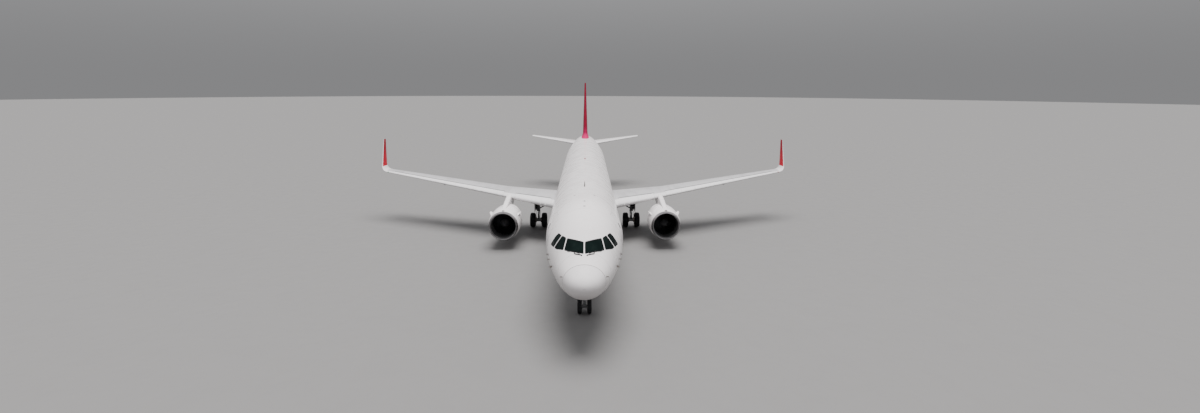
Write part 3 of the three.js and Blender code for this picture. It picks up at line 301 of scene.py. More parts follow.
# Rings of holes and bolts: count, steps turned, radius and share of it, level from and to, size, sides, paint
RIM_RINGS = (
    (9, 0.0, "rim", 0.62, "dish", -3, 3, 0.105, 20, SECOND),
    (9, 0.5, "rim", 0.62, "dish", -4, 16, 0.035, 6, THIRD),
    (9, 0.5, "rim", 0.80, "dish", -4, 16, 0.035, 6, THIRD),
    (6, 0.0, "hub", 0.45, "outer", -2, 7, 0.09, 6, THIRD),
)
MAIN_LEG = {
    "radius": 125, "piston": 82, "split": 1350, "top": 2960, "boss": 140, "boss_length": 380, "sides": 48,
}
NOSE_LEG = {
    "radius": 95, "piston": 62, "split": 1120, "top": 2200, "boss": 92, "boss_length": 240, "sides": 40,
}
BOSS_CHAMFER = 14
PISTON_FOOT = 30
COLLAR_DEPTH = 6
LINK = {"start": 1.9, "end": 1.3, "pin_reach": 1.4, "pin": 1.7}
# Rods: start and end as distance outboard of the leg, aft of it and height, radius and sides
MAIN_RODS = (
    ((0, 0, MAIN_LEG["split"]), (0, 0, MAIN_LEG["top"]), MAIN_LEG["radius"], 48),
    ((0, 0, 1500), (-1700, -60, 2500), 52, 32), ((-850, -120, 2000), (-850, 60, 2000), 62, 32),
    ((-850, -30, 2000), (-60, 0, 2350), 26, 20), ((0, -90, 1500), (0, 90, 1500), 84, 32),
)
NOSE_RODS = (
    ((0, 0, NOSE_LEG["split"] + 1), (0, 0, NOSE_LEG["top"]), NOSE_LEG["radius"], 48),
    ((0, 0, 1420), (0, 660, 2260), 42, 32), ((-120, 0, 1420), (120, 0, 1420), 60, 32),
)
NOSE_SIDE_RODS = (
    ((110, -30, 1600), (110, 230, 1600), 34, 24), ((110, -30, 1250), (60, -20, 1560), 14, 16),
    ((0, 0, 1780), (120, -70, 1780), 20, 16),
)
# The actuator between a main leg and its door
DOOR_RODS = (((200, 60, 1480), (200, 60, 2700), 52, 28), ((200, 60, 1400), (200, 60, 1490), 34, 24))
# Collars: height, radius and depth
MAIN_COLLARS = ((1380, 147, 90), (1720, 139, 60), (2180, 141, 120))
NOSE_COLLARS = ((1200, 109, 90), (1560, 115, 130))
FORK_COLLARS = ((1080, 84, 76),)
HOSE_CLIPS = ((1800, 159, 22), (2050, 159, 22), (2300, 159, 22))
# Torque links: start and end as distance aft and height, half spread at each end, and thickness
MAIN_LINKS = (((60, 715), (330, 1080), 74, 30, 17), ((90, 1430), (330, 1080), 90, 48, 17))
NOSE_LINKS = (((-60, 485), (-260, 800), 48, 20, 12), ((-70, 1090), (-260, 800), 60, 34, 12))
BRAKE = {
    "profile": ((-70, 120), (-70, 205), (60, 225), (60, 120)), "inset": 64,
    "pistons": 7, "circle": 165, "piston": 20, "length": 34, "gap": 8,
}
# Hoses of a main leg: turn round the leg and radius, and knots as distance from the leg, aft and height
MAIN_HOSES = ((-0.9, 13), (0.0, 10), (0.9, 13))
MAIN_HOSE_RING = 150
MAIN_HOSE_KNOTS = (
    (0, 0, 2700), (0, 0, 2200), (0, -20, 1700), (30, -60, 1350), (60, -110, 1060), (40, -40, 800),
    (0, 0, 680),
)
NOSE_HOSE_KNOTS = ((70, 80, 2150), (60, 95, 1700), (50, 110, 1350), (40, 104, 1200))
NOSE_HOSE_RADIUS = 10
TOW_FITTING = {"width": 110, "height": 60, "ahead": 150}
LEG_DOOR = {
    "stand_off": 150, "thickness": 30, "rounding": 70, "brackets": (1700, 2150), "bracket": 30, "sunk": 6,
    "outline": ((-330, 1280), (330, 1280), (420, 1700), (420, 2960), (-420, 2960), (-420, 1700)),
}
NOSE_DOOR = {
    "out": 270, "thickness": 22, "rounding": 60,
    "outline": ((-120, 1330), (620, 1330), (700, 1450), (700, 2300), (-200, 2300), (-200, 1400)),
}
# Ribs on a door's inner face: depth, and distance aft and height from and to
RIB_FOOT = 2
LEG_DOOR_RIBS = (
    (16, -330, 330, 1484, 1516), (16, -330, 330, 1884, 1916), (16, -330, 330, 2384, 2416),
    (16, -330, 330, 2684, 2716), (14, -264, -236, 1420, 2850), (14, 236, 264, 1420, 2850),
)
NOSE_DOOR_RIBS = (
    (12, -52, -28, 1420, 1900), (12, 228, 252, 1420, 1900), (12, 508, 532, 1420, 1900),
    (12, -100, 600, 1600, 1624),
)
TAXI_LIGHT = {
    "place": (120, -120, 1780), "case": ((0, 62), (50, 66), (66, 40), (66, 1)),
    "lens": ((-10, 1), (-10, 30), (-2, 60), (3, 60), (3, 1)),
}

# Fittings of the skin
TOP_GIRTH = BARREL_RADIUS * math.pi / 2
# A blade antenna: lean, width over chord, depth in the skin, and levels as shares of height and chord
BLADE = {"lean": 0.35, "width": 0.11, "sunk": 12, "levels": ((0, 1), (0.5, 0.8), (1, 0.5))}
BELLY_BLADES = ((8300, 280, 300), (12300, 240, 260), (28100, 260, 280))
CROWN_BLADE = (8980, 260, 300)
DOME_SUNK = 6
# Domes on the crown: station, distance out and radius
CROWN_DOMES = ((4530, 0, 58), (5250, 0, 58), (6830, 520, 52), (6830, -520, 52))
CROWN_DOME_HEIGHT = 16
BEACON = {"top": 20200, "bottom": 13300, "radius": 62, "height": 92}
# Probes on each side: station, height and length
PROBES = ((1050, 3450, 60), (2650, 3370, 120), (2850, 3250, 120), (3300, 3480, 70))
PROBE = {"sunk": 4, "out": 95, "foot": 24, "neck": 16, "back": 20, "tube": 15, "tip": 7, "splay": 6}
WIND_VANE = {
    "station": 3650, "height": 3600, "profile": ((-2, 70), (4, 70), (4, 1)), "block": (80, 12, 70, 10),
}
# Lines of the wipers: route, lift and radius, and the dome on their pivot
WIPERS = ((WIPER_ARM, 26, 17), (WIPER_BLADE, 14, 19))
WIPER_PIVOT = (34, 36)
NAV_LIGHT = {
    "out": 16860, "behind": 30, "above": 8, "shape": (2.0, 1, 0.8),
    "profile": ((-78, 1), (-70, 16), (-40, 34), (0, 44), (60, 40), (120, 20)),
}
LANDING_LIGHTS = {
    "outs": (2900, 3250), "behind": 44, "above": 6, "profile": ((-46, 1), (-40, 40), (0, 78), (40, 84)),
}
WICK = {"radius": 7, "tip": 3, "ahead": 20, "clear": 60}
WING_WICKS = {"first": 13600, "last": 16900, "count": 6, "reach": (0, 150, 6)}
TAIL_WICK = {"out": 6080, "reach": (0, 130, 0)}
TANK_COVERS = {
    "first": 4300, "end": 15800, "pitch": 820, "clear": 500, "chord": 0.36, "size": (130, 230), "line": 12,
}

# Camera, sky and soft light, in metres of the model and degrees, and the floor in full-size millimetres
CAMERA = {
    "lens": 16.005, "shift_y": -0.0324, "pitch": 8.857, "yaw": 1.537, "roll": -0.242,
    "place": (0.0335, -21.523, 5.7905), "sensor": 36, "far": 2000,
}
SKY = {"top": 0.88, "low": 0.28, "rise": 0.6, "colour": (0.86, 0.86, 0.88, 1.0)}
SOFT_LIGHT = {"strength": 6.1, "angle": 44, "turn": (-6, 3, 0), "colour": (1.0, 0.975, 0.97)}
FLOOR = {"reach": 500000, "thickness": 200, "points": 96, "rings": 12}

# Patterns: noise as scale, detail and stretch, and the values between which it fades in
PATTERNS = {
    "mottle": ((1.3, 5.0), 0.42, 0.72), "streaks": ((5.0, 5.0, (1.0, 0.10, 1.0)), 0.50, 0.78),
    "blotches": ((2.5, 5.0), 0.45, 0.75), "specks": ((95.0, 2.0), 0.66, 0.74),
    "wing_streaks": ((2.2, 6.0, (1.0, 0.3, 1.0)), 0.5, 0.8), "glass_film": ((3.0, 4.0), 0.45, 0.75),
    "chalk": ((8.0, 6.0), 0.45, 0.7), "lens": ((30.0, 3.0), 0.4, 0.7),
}
BELLY_NOISE = (3.0, 6.0, (1.0, 0.25, 1.0))
# Surfaces: noise of the gloss, its range round the roughness, noise of the height, distance and strength
SURFACES = {
    "enamel": ((3.0, 4.0), -0.03, 0.07, (160.0, 2.0), 0.00006, 0.12),
    "glass": ((14.0, 4.0), 0.0, 0.10, (9.0, 1.0), 0.002, 0.08),
    "rubber": ((20.0, 3.0), -0.12, 0.1, (220.0, 3.0), 0.0006, 0.4),
}
# Zones: rows of an axis, a place outside and a place inside
ZONES = {
    "nose_painted_shade": (("z", 1.88, 1.40), ("y", -8.6, -10.4)), "barrel": (("y", -8.6, -8.4), ("y", 7.0, 6.8)),
    "belly": (("z", 1.35, 0.75),), "lip_shade": (("z", 1.22, 0.82),), "fin_base": (("z", 3.6, 2.8),),
    "winglet_top": (("z", 2.5, 3.2),),
}
# Stains, and painted shade under the nose, on the lip's lower half and behind the slats: colour and amount
STAINS = {
    "nose_painted_shade": ((0.42, 0.39, 0.38), 0.65), "belly": ((0.42, 0.39, 0.37), 0.35),
    "lap": ((0.25, 0.24, 0.24), 0.4), "radome_seam": ((0.16, 0.155, 0.15), 0.8),
    "specks": ((0.42, 0.40, 0.38), 0.25), "lip_shade": ((0.11, 0.108, 0.11), 0.9),
    "wing_streaks": ((0.22, 0.22, 0.22), 0.35), "slat_painted_shadow": ((0.10, 0.105, 0.105), 0.85),
    "fin_base": ((0.55, 0.008, 0.13), 0.85), "fin_joint": ((0.10, 0.0, 0.01), 0.45),
    "winglet_top": ((0.28, 0.006, 0.02), 0.85), "glass_film": ((0.010, 0.018, 0.016), 0.6),
}
PAINT_GRIME = (0.20, 0.18, 0.165)
METAL_STAIN = (0.10, 0.09, 0.08)
SOOT = (0.05, 0.03, 0.02)
MOTTLE_TINT, JOINT_TINT, CHALK_TINT, LENS_TINT = 0.86, 0.35, 2.6, 0.6
COAT_ROUGHNESS = 0.12
# Joints: axis, pitch, offset and width
FRAME_JOINTS = ("y", 1.33, 0.31, 0.004)
LAP_JOINTS = ("z", 0.36, 0.12, 0.0035)
# The painted shadow behind a slat: distance behind its edge from clear to dark, and fade at its ends
SLAT_SHADOW_EDGE = (0.078, 0.062)
SLAT_SHADOW_FADE = 0.01


def aft(station):
    return station - LENGTH / 2


class Shape:
    """Points in full-size millimetres and faces, each face with the number of its material."""

    def __init__(self, points=(), faces=(), paint=FIRST):
        self.points = np.array(points, float).reshape(-1, 3)
        self.faces = [tuple(face) for face in faces]
        self.paints = [paint] * len(self.faces)

    def at(self, points):
        """The same faces on other points."""
        shape = Shape(points)
        shape.faces, shape.paints = self.faces, list(self.paints)
        return shape

    def moved(self, x=0.0, y=0.0, z=0.0):
        return self.at(self.points + (x, y, z))

    def placed(self, matrix):
        turn = np.array(matrix, float)
        return self.at(self.points @ turn[:3, :3].T + turn[:3, 3])

    def scaled(self, x=1.0, y=1.0, z=1.0):
        return self.at(self.points * (x, y, z))


def together(shapes):
    """One shape of several."""
    whole = Shape()
    start = 0
    points = []
    for shape in shapes:
        points.append(shape.points)
        whole.faces += [tuple(i + start for i in face) for face in shape.faces]
        whole.paints += shape.paints
        start += len(shape.points)
    whole.points = np.concatenate(points)
    return whole


def loft(rings, caps=True, paint=FIRST):
    """A skin through rings of points of equal count, closed at both ends by flat faces."""
    rings = np.asarray(rings, float)
    levels, count = rings.shape[:2]
    faces = []
    for i in range(levels - 1):
        for j in range(count):
            k = (j + 1) % count
            faces.append((i * count + j, i * count + k, (i + 1) * count + k, (i + 1) * count + j))
    if caps:
        faces.append(tuple(range(count))[::-1])
        faces.append(tuple(range((levels - 1) * count, levels * count)))
    return Shape(rings.reshape(-1, 3), faces, paint)


def smooth(points, steps=6):
    """A smooth curve through points, which are rows of numbers or of rings."""
    points = np.asarray(points, float)
    padded = np.concatenate([[2 * points[0] - points[1]], points, [2 * points[-1] - points[-2]]])
    curve = []
    for a, b, c, d in zip(padded, padded[1:], padded[2:], padded[3:]):
        for t in np.arange(steps) / steps:
            curve.append(0.5 * (2 * b + (c - a) * t + (2 * a - 5 * b + 4 * c - d) * t ** 2
                                + (3 * b - a - 3 * c + d) * t ** 3))
    curve.append(points[-1])
    return np.array(curve)


def circle(count, radius=1.0, steps=0.0):
    """Pairs spaced evenly round a circle, the first straight up, or some steps on."""
    angles = TURN * (np.arange(count) + steps) / count
    return [(radius * math.sin(angle), radius * math.cos(angle)) for angle in angles]


def turned(profile, segments=48, axis="Y", paint=FIRST):
    """A profile of pairs, distance along the axis and radius, turned round the axis."""
    profile = np.asarray(profile, float)
    angles = np.linspace(0, TURN, segments, endpoint=False)
    along, radius = profile[:, :1], profile[:, 1:]
    first, second = radius * np.sin(angles), radius * np.cos(angles)
    along = np.broadcast_to(along, first.shape)
    columns = {"X": (along, first, second), "Y": (first, along, second), "Z": (first, second, along)}
    closed = np.allclose(profile[0], profile[-1])
    flat_ends = not closed and max(profile[0, 1], profile[-1, 1]) > 0
    return loft(np.stack(columns[axis], axis=2), flat_ends, paint)


def rod(start, end, radius, end_radius=None, segments=16, paint=FIRST):
    start, end = Vector(start), Vector(end)
    along = end - start
    end_radius = radius if end_radius is None else end_radius
    shape = turned([(0, radius), (along.length, end_radius)], segments, "Z", paint)
    turn = Vector((0, 0, 1)).rotation_difference(along).to_matrix().to_4x4()
    return shape.placed(Matrix.Translation(start) @ turn)


def tube(path, radius, segments=8, paint=FIRST):
    """A round tube along a path of points."""
    path = np.asarray(path, float)
    tangents = np.gradient(path, axis=0)
    rings = []
    side = Vector(tangents[0]).orthogonal().normalized()
    for point, tangent in zip(path, tangents):
        forward = Vector(tangent).normalized()
        side = (side - forward * side.dot(forward)).normalized()
        other = forward.cross(side)
        rings.append([point + cosine * np.array(side) + sine * np.array(other)
                      for sine, cosine in circle(segments, radius)])
    return loft(rings, paint=paint)


def block(corner, opposite, paint=FIRST):
    (x0, y0, z0), (x1, y1, z1) = np.sort([corner, opposite], axis=0)
    ring = lambda z: [(x0, y0, z), (x1, y0, z), (x1, y1, z), (x0, y1, z)]
    return loft([ring(z0), ring(z1)], paint=paint)


def prism(outline, axis, low, high, paint=FIRST):
    """An outline in the two other axes, in their order, made a solid along one axis."""
    spots = {"X": lambda a, b, c: (c, a, b), "Y": lambda a, b, c: (a, c, b), "Z": lambda a, b, c: (a, b, c)}
    ring = lambda c: [spots[axis](a, b, c) for a, b in outline]
    return loft([ring(low), ring(high)], paint=paint)


def rounded(corners, radius, steps=5, spacing=150):
    """An outline with its corners rounded and its long edges divided."""
    corners = np.asarray(corners, float)
    outline = []
    for before, corner, after in zip(np.roll(corners, 1, 0), corners, np.roll(corners, -1, 0)):
        into, away = before - corner, after - corner
        reach = min(radius, np.linalg.norm(into) / 2.1, np.linalg.norm(away) / 2.1)
        start = corner + into / np.linalg.norm(into) * reach
        end = corner + away / np.linalg.norm(away) * reach
        for t in np.linspace(0, 1, steps):
            outline.append((1 - t) ** 2 * start + 2 * t * (1 - t) * corner + t ** 2 * end)
    divided = []
    for point, after in zip(outline, outline[1:] + outline[:1]):
        parts = max(1, math.ceil(np.linalg.norm(after - point) / spacing))
        divided += [point + (after - point) * i / parts for i in range(parts)]
    return np.array(divided)


def rectangle(middle, width, tall, radius, spacing=150):
    (u, v), w, h = middle, width / 2, tall / 2
    corners = [(u - w, v - h), (u + w, v - h), (u + w, v + h), (u - w, v + h)]
    return rounded(corners, radius, spacing=spacing)


def shrunk(outline, width):
    """An outline moved inward, or outward where the width is negative."""
    outline = np.asarray(outline, float)
    before, after = np.roll(outline, 1, 0), np.roll(outline, -1, 0)
    normal = lambda edge: np.stack([-edge[:, 1], edge[:, 0]], 1) / np.linalg.norm(edge, axis=1)[:, None]
    mean = normal(outline - before) + normal(after - outline)
    mean /= np.maximum((mean ** 2).sum(1), 1.0)[:, None] / 2
    area = np.sum(outline[:, 0] * after[:, 1] - outline[:, 1] * after[:, 0])
    return outline + mean * width * np.sign(area)


def patch(surface, outline, top, bottom, rings=3, paint=FIRST):
    """A closed solid that follows a surface inside an outline, from one lift to another."""
    outline = np.asarray(outline, float)
    centre = outline.mean(0)
    count = len(outline)
    layers = [centre + (outline - centre) * share for share in np.linspace(1, 0, rings + 1)[:-1]]
    flat = np.concatenate(layers + [centre[None]])
    points = np.concatenate([surface(flat[:, 0], flat[:, 1], lift) for lift in (top, bottom)])
    faces = []
    for base in (0, len(flat)):
        for j in range(count):
            k = (j + 1) % count
            for r in range(rings - 1):
                near, far = base + r * count, base + (r + 1) * count
                faces.append((near + j, near + k, far + k, far + j))
            last = base + (rings - 1) * count
            faces.append((last + j, last + k, base + len(flat) - 1))
    for j in range(count):
        k = (j + 1) % count
        faces.append((j, k, len(flat) + k, len(flat) + j))
    return Shape(points, faces, paint)


def band(surface, outline, width, top, bottom, paint=FIRST):
    """A closed frame that follows a surface between an outline and the outline shrunk by a width."""
    outer, inner = np.asarray(outline, float), shrunk(outline, width)
    ends = [surface(line[:, 0], line[:, 1], lift)
            for line, lift in ((outer, top), (inner, top), (inner, bottom), (outer, bottom))]
    rings = np.stack(ends + ends[:1])
    return loft(rings, False, paint)


def turn_outward(made):
    """Turns each closed island of faces so that its volume is positive."""
    seen = set()
    for seed in made.faces:
        if seed in seen:
            continue
        seen.add(seed)
        island = [seed]
        for face in island:
            for edge in face.edges:
                for other in edge.link_faces:
                    if other not in seen:
                        seen.add(other)
                        island.append(other)
        centre = seed.verts[0].co
        volume = sum((face.calc_center_median() - centre).dot(face.normal) * face.calc_area()
                     for face in island)
        if volume < 0:
            bmesh.ops.reverse_faces(made, faces=island)


def new_object(name, shape):
    mesh = bpy.data.meshes.new(name)
    mesh.from_pydata((shape.points * UNIT).tolist(), [], shape.faces)
    for _ in range(PAINT_SLOTS):
        mesh.materials.append(None)
    mesh.polygons.foreach_set("material_index", shape.paints)
    made = bmesh.new()
    made.from_mesh(mesh)
    bmesh.ops.remove_doubles(made, verts=made.verts, dist=MERGE_DISTANCE)
    bmesh.ops.recalc_face_normals(made, faces=made.faces)
    turn_outward(made)
    made.to_mesh(mesh)
    made.free()
    obj = bpy.data.objects.new(name, mesh)
    bpy.context.scene.collection.objects.link(obj)
    return obj


def settle(obj):
    """Applies an object's modifiers to its mesh."""
    depsgraph = bpy.context.evaluated_depsgraph_get()
    mesh = bpy.data.meshes.new_from_object(obj.evaluated_get(depsgraph))
    obj.modifiers.clear()
    obj.data = mesh


def in_triangles(obj):
    made = bmesh.new()
    made.from_mesh(obj.data)
    bmesh.ops.triangulate(made, faces=[face for face in made.faces if len(face.verts) > 3])
    made.to_mesh(obj.data)
    made.free()
    return obj


def carve(obj, *steps):
    """Joins, cuts or crosses an object with shapes: each step is an operation and a shape."""
    for operation, shape in steps:
        tool = new_object("tool", shape)
        modifier = obj.modifiers.new("carve", "BOOLEAN")
        modifier.operation = operation
        modifier.solver = "EXACT"
        modifier.object = tool
        settle(obj)
        bpy.data.objects.remove(tool)
    return obj


def copied(obj):
    twin = bpy.data.objects.new(obj.name, obj.data.copy())
    bpy.context.scene.collection.objects.link(twin)
    return twin


def show(name, made, materials, slot, body="airframe", replaced=(), angle=32, bevel=0):
    """Finishes a piece from a shape or an object: its looks, its body and the nodes it stands for."""
    obj = new_object(name, made) if isinstance(made, Shape) else made
    obj.name = name
    if bevel:
        modifier = obj.modifiers.new("bevel", "BEVEL")
        modifier.width = bevel * UNIT
        modifier.segments = BEVEL["segments"]
        modifier.limit_method = "ANGLE"
        modifier.angle_limit = math.radians(BEVEL["angle"])
        settle(obj)
    mesh = obj.data
    paints = np.zeros(len(mesh.polygons), np.int32)
    mesh.polygons.foreach_get("material_index", paints)
    mesh.materials.clear()
    for material in materials if isinstance(materials, (list, tuple)) else [materials]:
        mesh.materials.append(material)
    mesh.polygons.foreach_set("material_index", paints)
    mesh.polygons.foreach_set("use_smooth", [True] * len(mesh.polygons))
    mesh.set_sharp_from_angle(angle=math.radians(angle))
    normals = obj.modifiers.new("normals", "WEIGHTED_NORMAL")
    normals.keep_sharp = True
    normals.weight = NORMAL_WEIGHT
    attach(obj, body)
    if replaced:
        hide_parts(*replaced)
    return obj


class Nodes:
    """One material's nodes. Places are object coordinates: the model's frame in metres."""

    def __init__(self, name, colour, roughness, metallic=0.0, **sockets):
        self.material = bpy.data.materials.new(name)
        self.material.use_nodes = True
        self.tree = self.material.node_tree
        self.shader = self.tree.nodes["Principled BSDF"]
        self.colour = (*colour, 1.0)
        values = {"Base Color": self.colour, "Roughness": roughness, "Metallic": metallic, **sockets}
        for socket, value in values.items():
            self.shader.inputs[socket].default_value = value
        self.place = self.add("ShaderNodeTexCoord").outputs["Object"]
        axes = self.add("ShaderNodeSeparateXYZ", {0: self.place})
        self.x, self.y, self.z = axes.outputs
        self.bump = None

    def add(self, kind, inputs=None, **settings):
        node = self.tree.nodes.new(kind)
        for setting, value in settings.items():
            setattr(node, setting, value)
        for key, value in (inputs or {}).items():
            if isinstance(value, bpy.types.NodeSocket):
                self.tree.links.new(value, node.inputs[key])
            else:
                node.inputs[key].default_value = value
        return node

    def math(self, operation, a, b=0.0):
        return self.add("ShaderNodeMath", {0: a, 1: b}, operation=operation).outputs[0]

    def noise(self, scale, detail=3.0, stretch=(1, 1, 1)):
        place = self.add("ShaderNodeMapping", {"Vector": self.place, "Scale": stretch}).outputs[0]
        return self.add("ShaderNodeTexNoise", {"Vector": place, "Scale": scale, "Detail": detail}).outputs[0]

    def ramp(self, value, low, high, start=0.0, end=1.0):
        inputs = {"Value": value, "From Min": low, "From Max": high, "To Min": start, "To Max": end}
        return self.add("ShaderNodeMapRange", inputs, interpolation_type="SMOOTHSTEP").outputs[0]

    def pattern(self, name):
        """1 where a noise is high and 0 where it is low."""
        noise, low, high = PATTERNS[name]
        return self.ramp(self.noise(*noise), low, high)

    def zone(self, *fades):
        """1 inside a zone and 0 outside. Each fade is an axis, a place outside and a place inside."""
        factors = [self.ramp(getattr(self, axis), outside, inside) for axis, outside, inside in fades]
        whole = factors[0]
        for factor in factors[1:]:
            whole = self.math("MULTIPLY", whole, factor)
        return whole

    def line(self, value, pitch, width, offset=0.0):
        """1 on lines that repeat along a value, and 0 between them."""
        shifted = self.math("SUBTRACT", value, offset - pitch / 2)
        share = self.math("FRACT", self.math("DIVIDE", shifted, pitch))
        away = self.math("MULTIPLY", self.math("ABSOLUTE", self.math("SUBTRACT", share, 0.5)), pitch)
        return self.ramp(away, width / 2, width, 1.0, 0.0)

    def blend(self, factor, a, b):
        """A mix of two colours. Inputs 6 and 7 are the colours of a mix node."""
        return self.add("ShaderNodeMix", {0: factor, 6: a, 7: b}, data_type="RGBA").outputs[2]

    def stain(self, factor, colour, amount):
        """Blends a colour into the base colour where the factor is high."""
        base = self.shader.inputs["Base Color"]
        before = base.links[0].from_socket if base.links else self.colour
        self.tree.links.new(self.blend(self.math("MULTIPLY", factor, amount), before, (*colour, 1.0)), base)

    def stain_zone(self, name):
        self.stain(self.zone(*ZONES[name]), *STAINS[name])

    def rough(self, factor, low, high):
        self.tree.links.new(self.ramp(factor, 0.3, 0.7, low, high), self.shader.inputs["Roughness"])

    def raised(self, height, distance, strength=1.0):
        """Adds a height, in metres, to the bump."""
        inputs = {"Height": height, "Distance": distance, "Strength": strength}
        if self.bump is not None:
            inputs["Normal"] = self.bump
        self.bump = self.add("ShaderNodeBump", inputs).outputs[0]
        self.tree.links.new(self.bump, self.shader.inputs["Normal"])

    def groove(self, factor, stain, depth, strength):
        """A stained line that is sunk into the surface."""
        self.stain(factor, *stain)
        self.raised(self.math("SUBTRACT", 1.0, factor), depth, strength)

    def surface(self, name, roughness):
        """The fine changes of gloss and height that a kind of surface has."""
        gloss, low, high, ripple, distance, strength = SURFACES[name]
        self.rough(self.noise(*gloss), roughness + low, roughness + high)
        self.raised(self.noise(*ripple), distance, strength)


def painted(name, colour, roughness=0.3, dirt=0.25, panels=(), coat=0.25, grime=PAINT_GRIME):
    """Enamel with mottling, streaks along the airflow, fine ripple and panel joints.

    Each row of panels is an axis, a pitch, an offset and a width, in metres of the model.
    """
    nodes = Nodes(name, colour, roughness, **{"Coat Weight": coat, "Coat Roughness": COAT_ROUGHNESS})
    nodes.stain(nodes.pattern("mottle"), tinted(colour, MOTTLE_TINT), 0.5 * dirt)
    nodes.stain(nodes.pattern("streaks"), grime, 0.5 * dirt)
    for axis, pitch, offset, width in panels:
        joint = nodes.line(getattr(nodes, axis), pitch, width, offset)
        nodes.groove(joint, (tinted(colour, JOINT_TINT), 0.55), 0.0015, 0.6)
    nodes.surface("enamel", roughness)
    return nodes


def tinted(colour, share):
    return [share * channel for channel in colour]


def metal(name, colour, roughness, grain, dirt=0.3, stretch=(1, 1, 1), tint=METAL_STAIN):
    nodes = Nodes(name, colour, roughness, 1.0)
    brushed = nodes.noise(grain, 3.0, stretch)
    nodes.stain(nodes.pattern("blotches"), tint, dirt)
    nodes.rough(brushed, roughness - 0.06, roughness + 0.14)
    nodes.raised(brushed, 0.0004, 0.25)
    return nodes


def lip_metal():
    nodes = metal("lip_metal", (0.46, 0.44, 0.445), 0.30, 18.0, 0.05)
    # Painted shade: the lip's lower half is darkened, standing in for the dark reflection below.
    nodes.stain_zone("lip_shade")
    return nodes.material


def white_paint():
    """The fuselage's white, with lap joints, the radome's seam, grime on the belly, and painted shade under
    the nose.
    """
    nodes = painted("white_paint", (0.83, 0.80, 0.80), 0.26, 0.08, [FRAME_JOINTS])
    axis, pitch, offset, width = LAP_JOINTS
    lines = nodes.line(getattr(nodes, axis), pitch, width, offset)
    nodes.groove(nodes.math("MULTIPLY", lines, nodes.zone(*ZONES["barrel"])), STAINS["lap"], 0.0012, 0.5)
    seam = aft(RADOME_STATION) * UNIT
    edge = nodes.zone(("y", seam + 0.012, seam + 0.008), ("y", seam - 1, seam))
    nodes.stain(edge, *STAINS["radome_seam"])
    belly = nodes.math("MULTIPLY", nodes.zone(*ZONES["belly"]), nodes.noise(*BELLY_NOISE))
    nodes.stain(belly, *STAINS["belly"])
    # Painted shade: the lower front of the nose is darkened.
    nodes.stain_zone("nose_painted_shade")
    return nodes.material


def radome_paint():
    nodes = painted("radome_paint", (0.79, 0.765, 0.77), 0.34, 0.12, coat=0.15)
    nodes.stain(nodes.pattern("specks"), *STAINS["specks"])
    # Painted shade: the lower front of the nose is darkened.
    nodes.stain_zone("nose_painted_shade")
    return nodes.material


def wing_paint():
    """The wing's grey, with painted shadow in a strip behind each slat."""
    nodes = painted("wing_grey", (0.47, 0.465, 0.475), 0.38, 0.4, [("x", 0.82, 0.33, 0.0035)], coat=0.08)
    nodes.stain(nodes.pattern("wing_streaks"), *STAINS["wing_streaks"])
    out = nodes.math("ABSOLUTE", nodes.x)
    for _, start, end, share in SLATS:
        near, far = aft(chord_station(start, share)), aft(chord_station(end, share))
        line = nodes.math("MULTIPLY", nodes.math("SUBTRACT", out, start * UNIT), (far - near) / (end - start))
        behind = nodes.math("SUBTRACT", nodes.math("SUBTRACT", nodes.y, near * UNIT), line)
        span = nodes.math("MULTIPLY", nodes.ramp(out, start * UNIT - SLAT_SHADOW_FADE, start * UNIT),
                          nodes.ramp(out, end * UNIT + SLAT_SHADOW_FADE, end * UNIT))
        # Painted shadow in a strip just behind the slat's edge.
        slat_shadow = nodes.math("MULTIPLY", nodes.ramp(behind, *SLAT_SHADOW_EDGE), span)
        nodes.stain(slat_shadow, *STAINS["slat_painted_shadow"])
    return nodes.material


def fin_paint():
    nodes = painted("fin_crimson", (0.25, 0.003, 0.026), 0.45, 0.15, coat=0.0, grime=(0.12, 0.01, 0.02))
    nodes.shader.inputs["Specular IOR Level"].default_value = 0.12
    nodes.stain_zone("fin_base")
    for axis, pitch, offset in (("z", 0.62, 0.1), ("y", 1.05, 0.3)):
        nodes.groove(nodes.line(getattr(nodes, axis), pitch, 0.003, offset), STAINS["fin_joint"], 0.001, 0.5)
    return nodes.material


def winglet_paint():
    nodes = painted("winglet_red", (0.50, 0.008, 0.028), 0.42, 0.15, coat=0.0, grime=(0.15, 0.01, 0.01))
    nodes.shader.inputs["Specular IOR Level"].default_value = 0.15
    nodes.stain_zone("winglet_top")
    return nodes.material


def glass(name, colour, roughness=0.05):
    nodes = Nodes(name, colour, roughness, **{"Specular IOR Level": 0.06})
    nodes.stain(nodes.pattern("glass_film"), *STAINS["glass_film"])
    nodes.surface("glass", roughness)
    return nodes.material


def rubber(name, colour, roughness=0.8):
    nodes = Nodes(name, colour, roughness, **{"Specular IOR Level": 0.2})
    nodes.stain(nodes.pattern("chalk"), tinted(colour, CHALK_TINT), 0.55)
    nodes.surface("rubber", roughness)
    return nodes.material


def lamp(name, colour, strength):
    glow = {"Coat Weight": 0.8, "Emission Color": (*colour, 1.0), "Emission Strength": strength}
    nodes = Nodes(name, colour, 0.12, **glow)
    nodes.raised(nodes.noise(60.0, 1.0), 0.001, 0.3)
    nodes.stain(nodes.pattern("lens"), tinted(colour, LENS_TINT), 0.5)
    return nodes.material


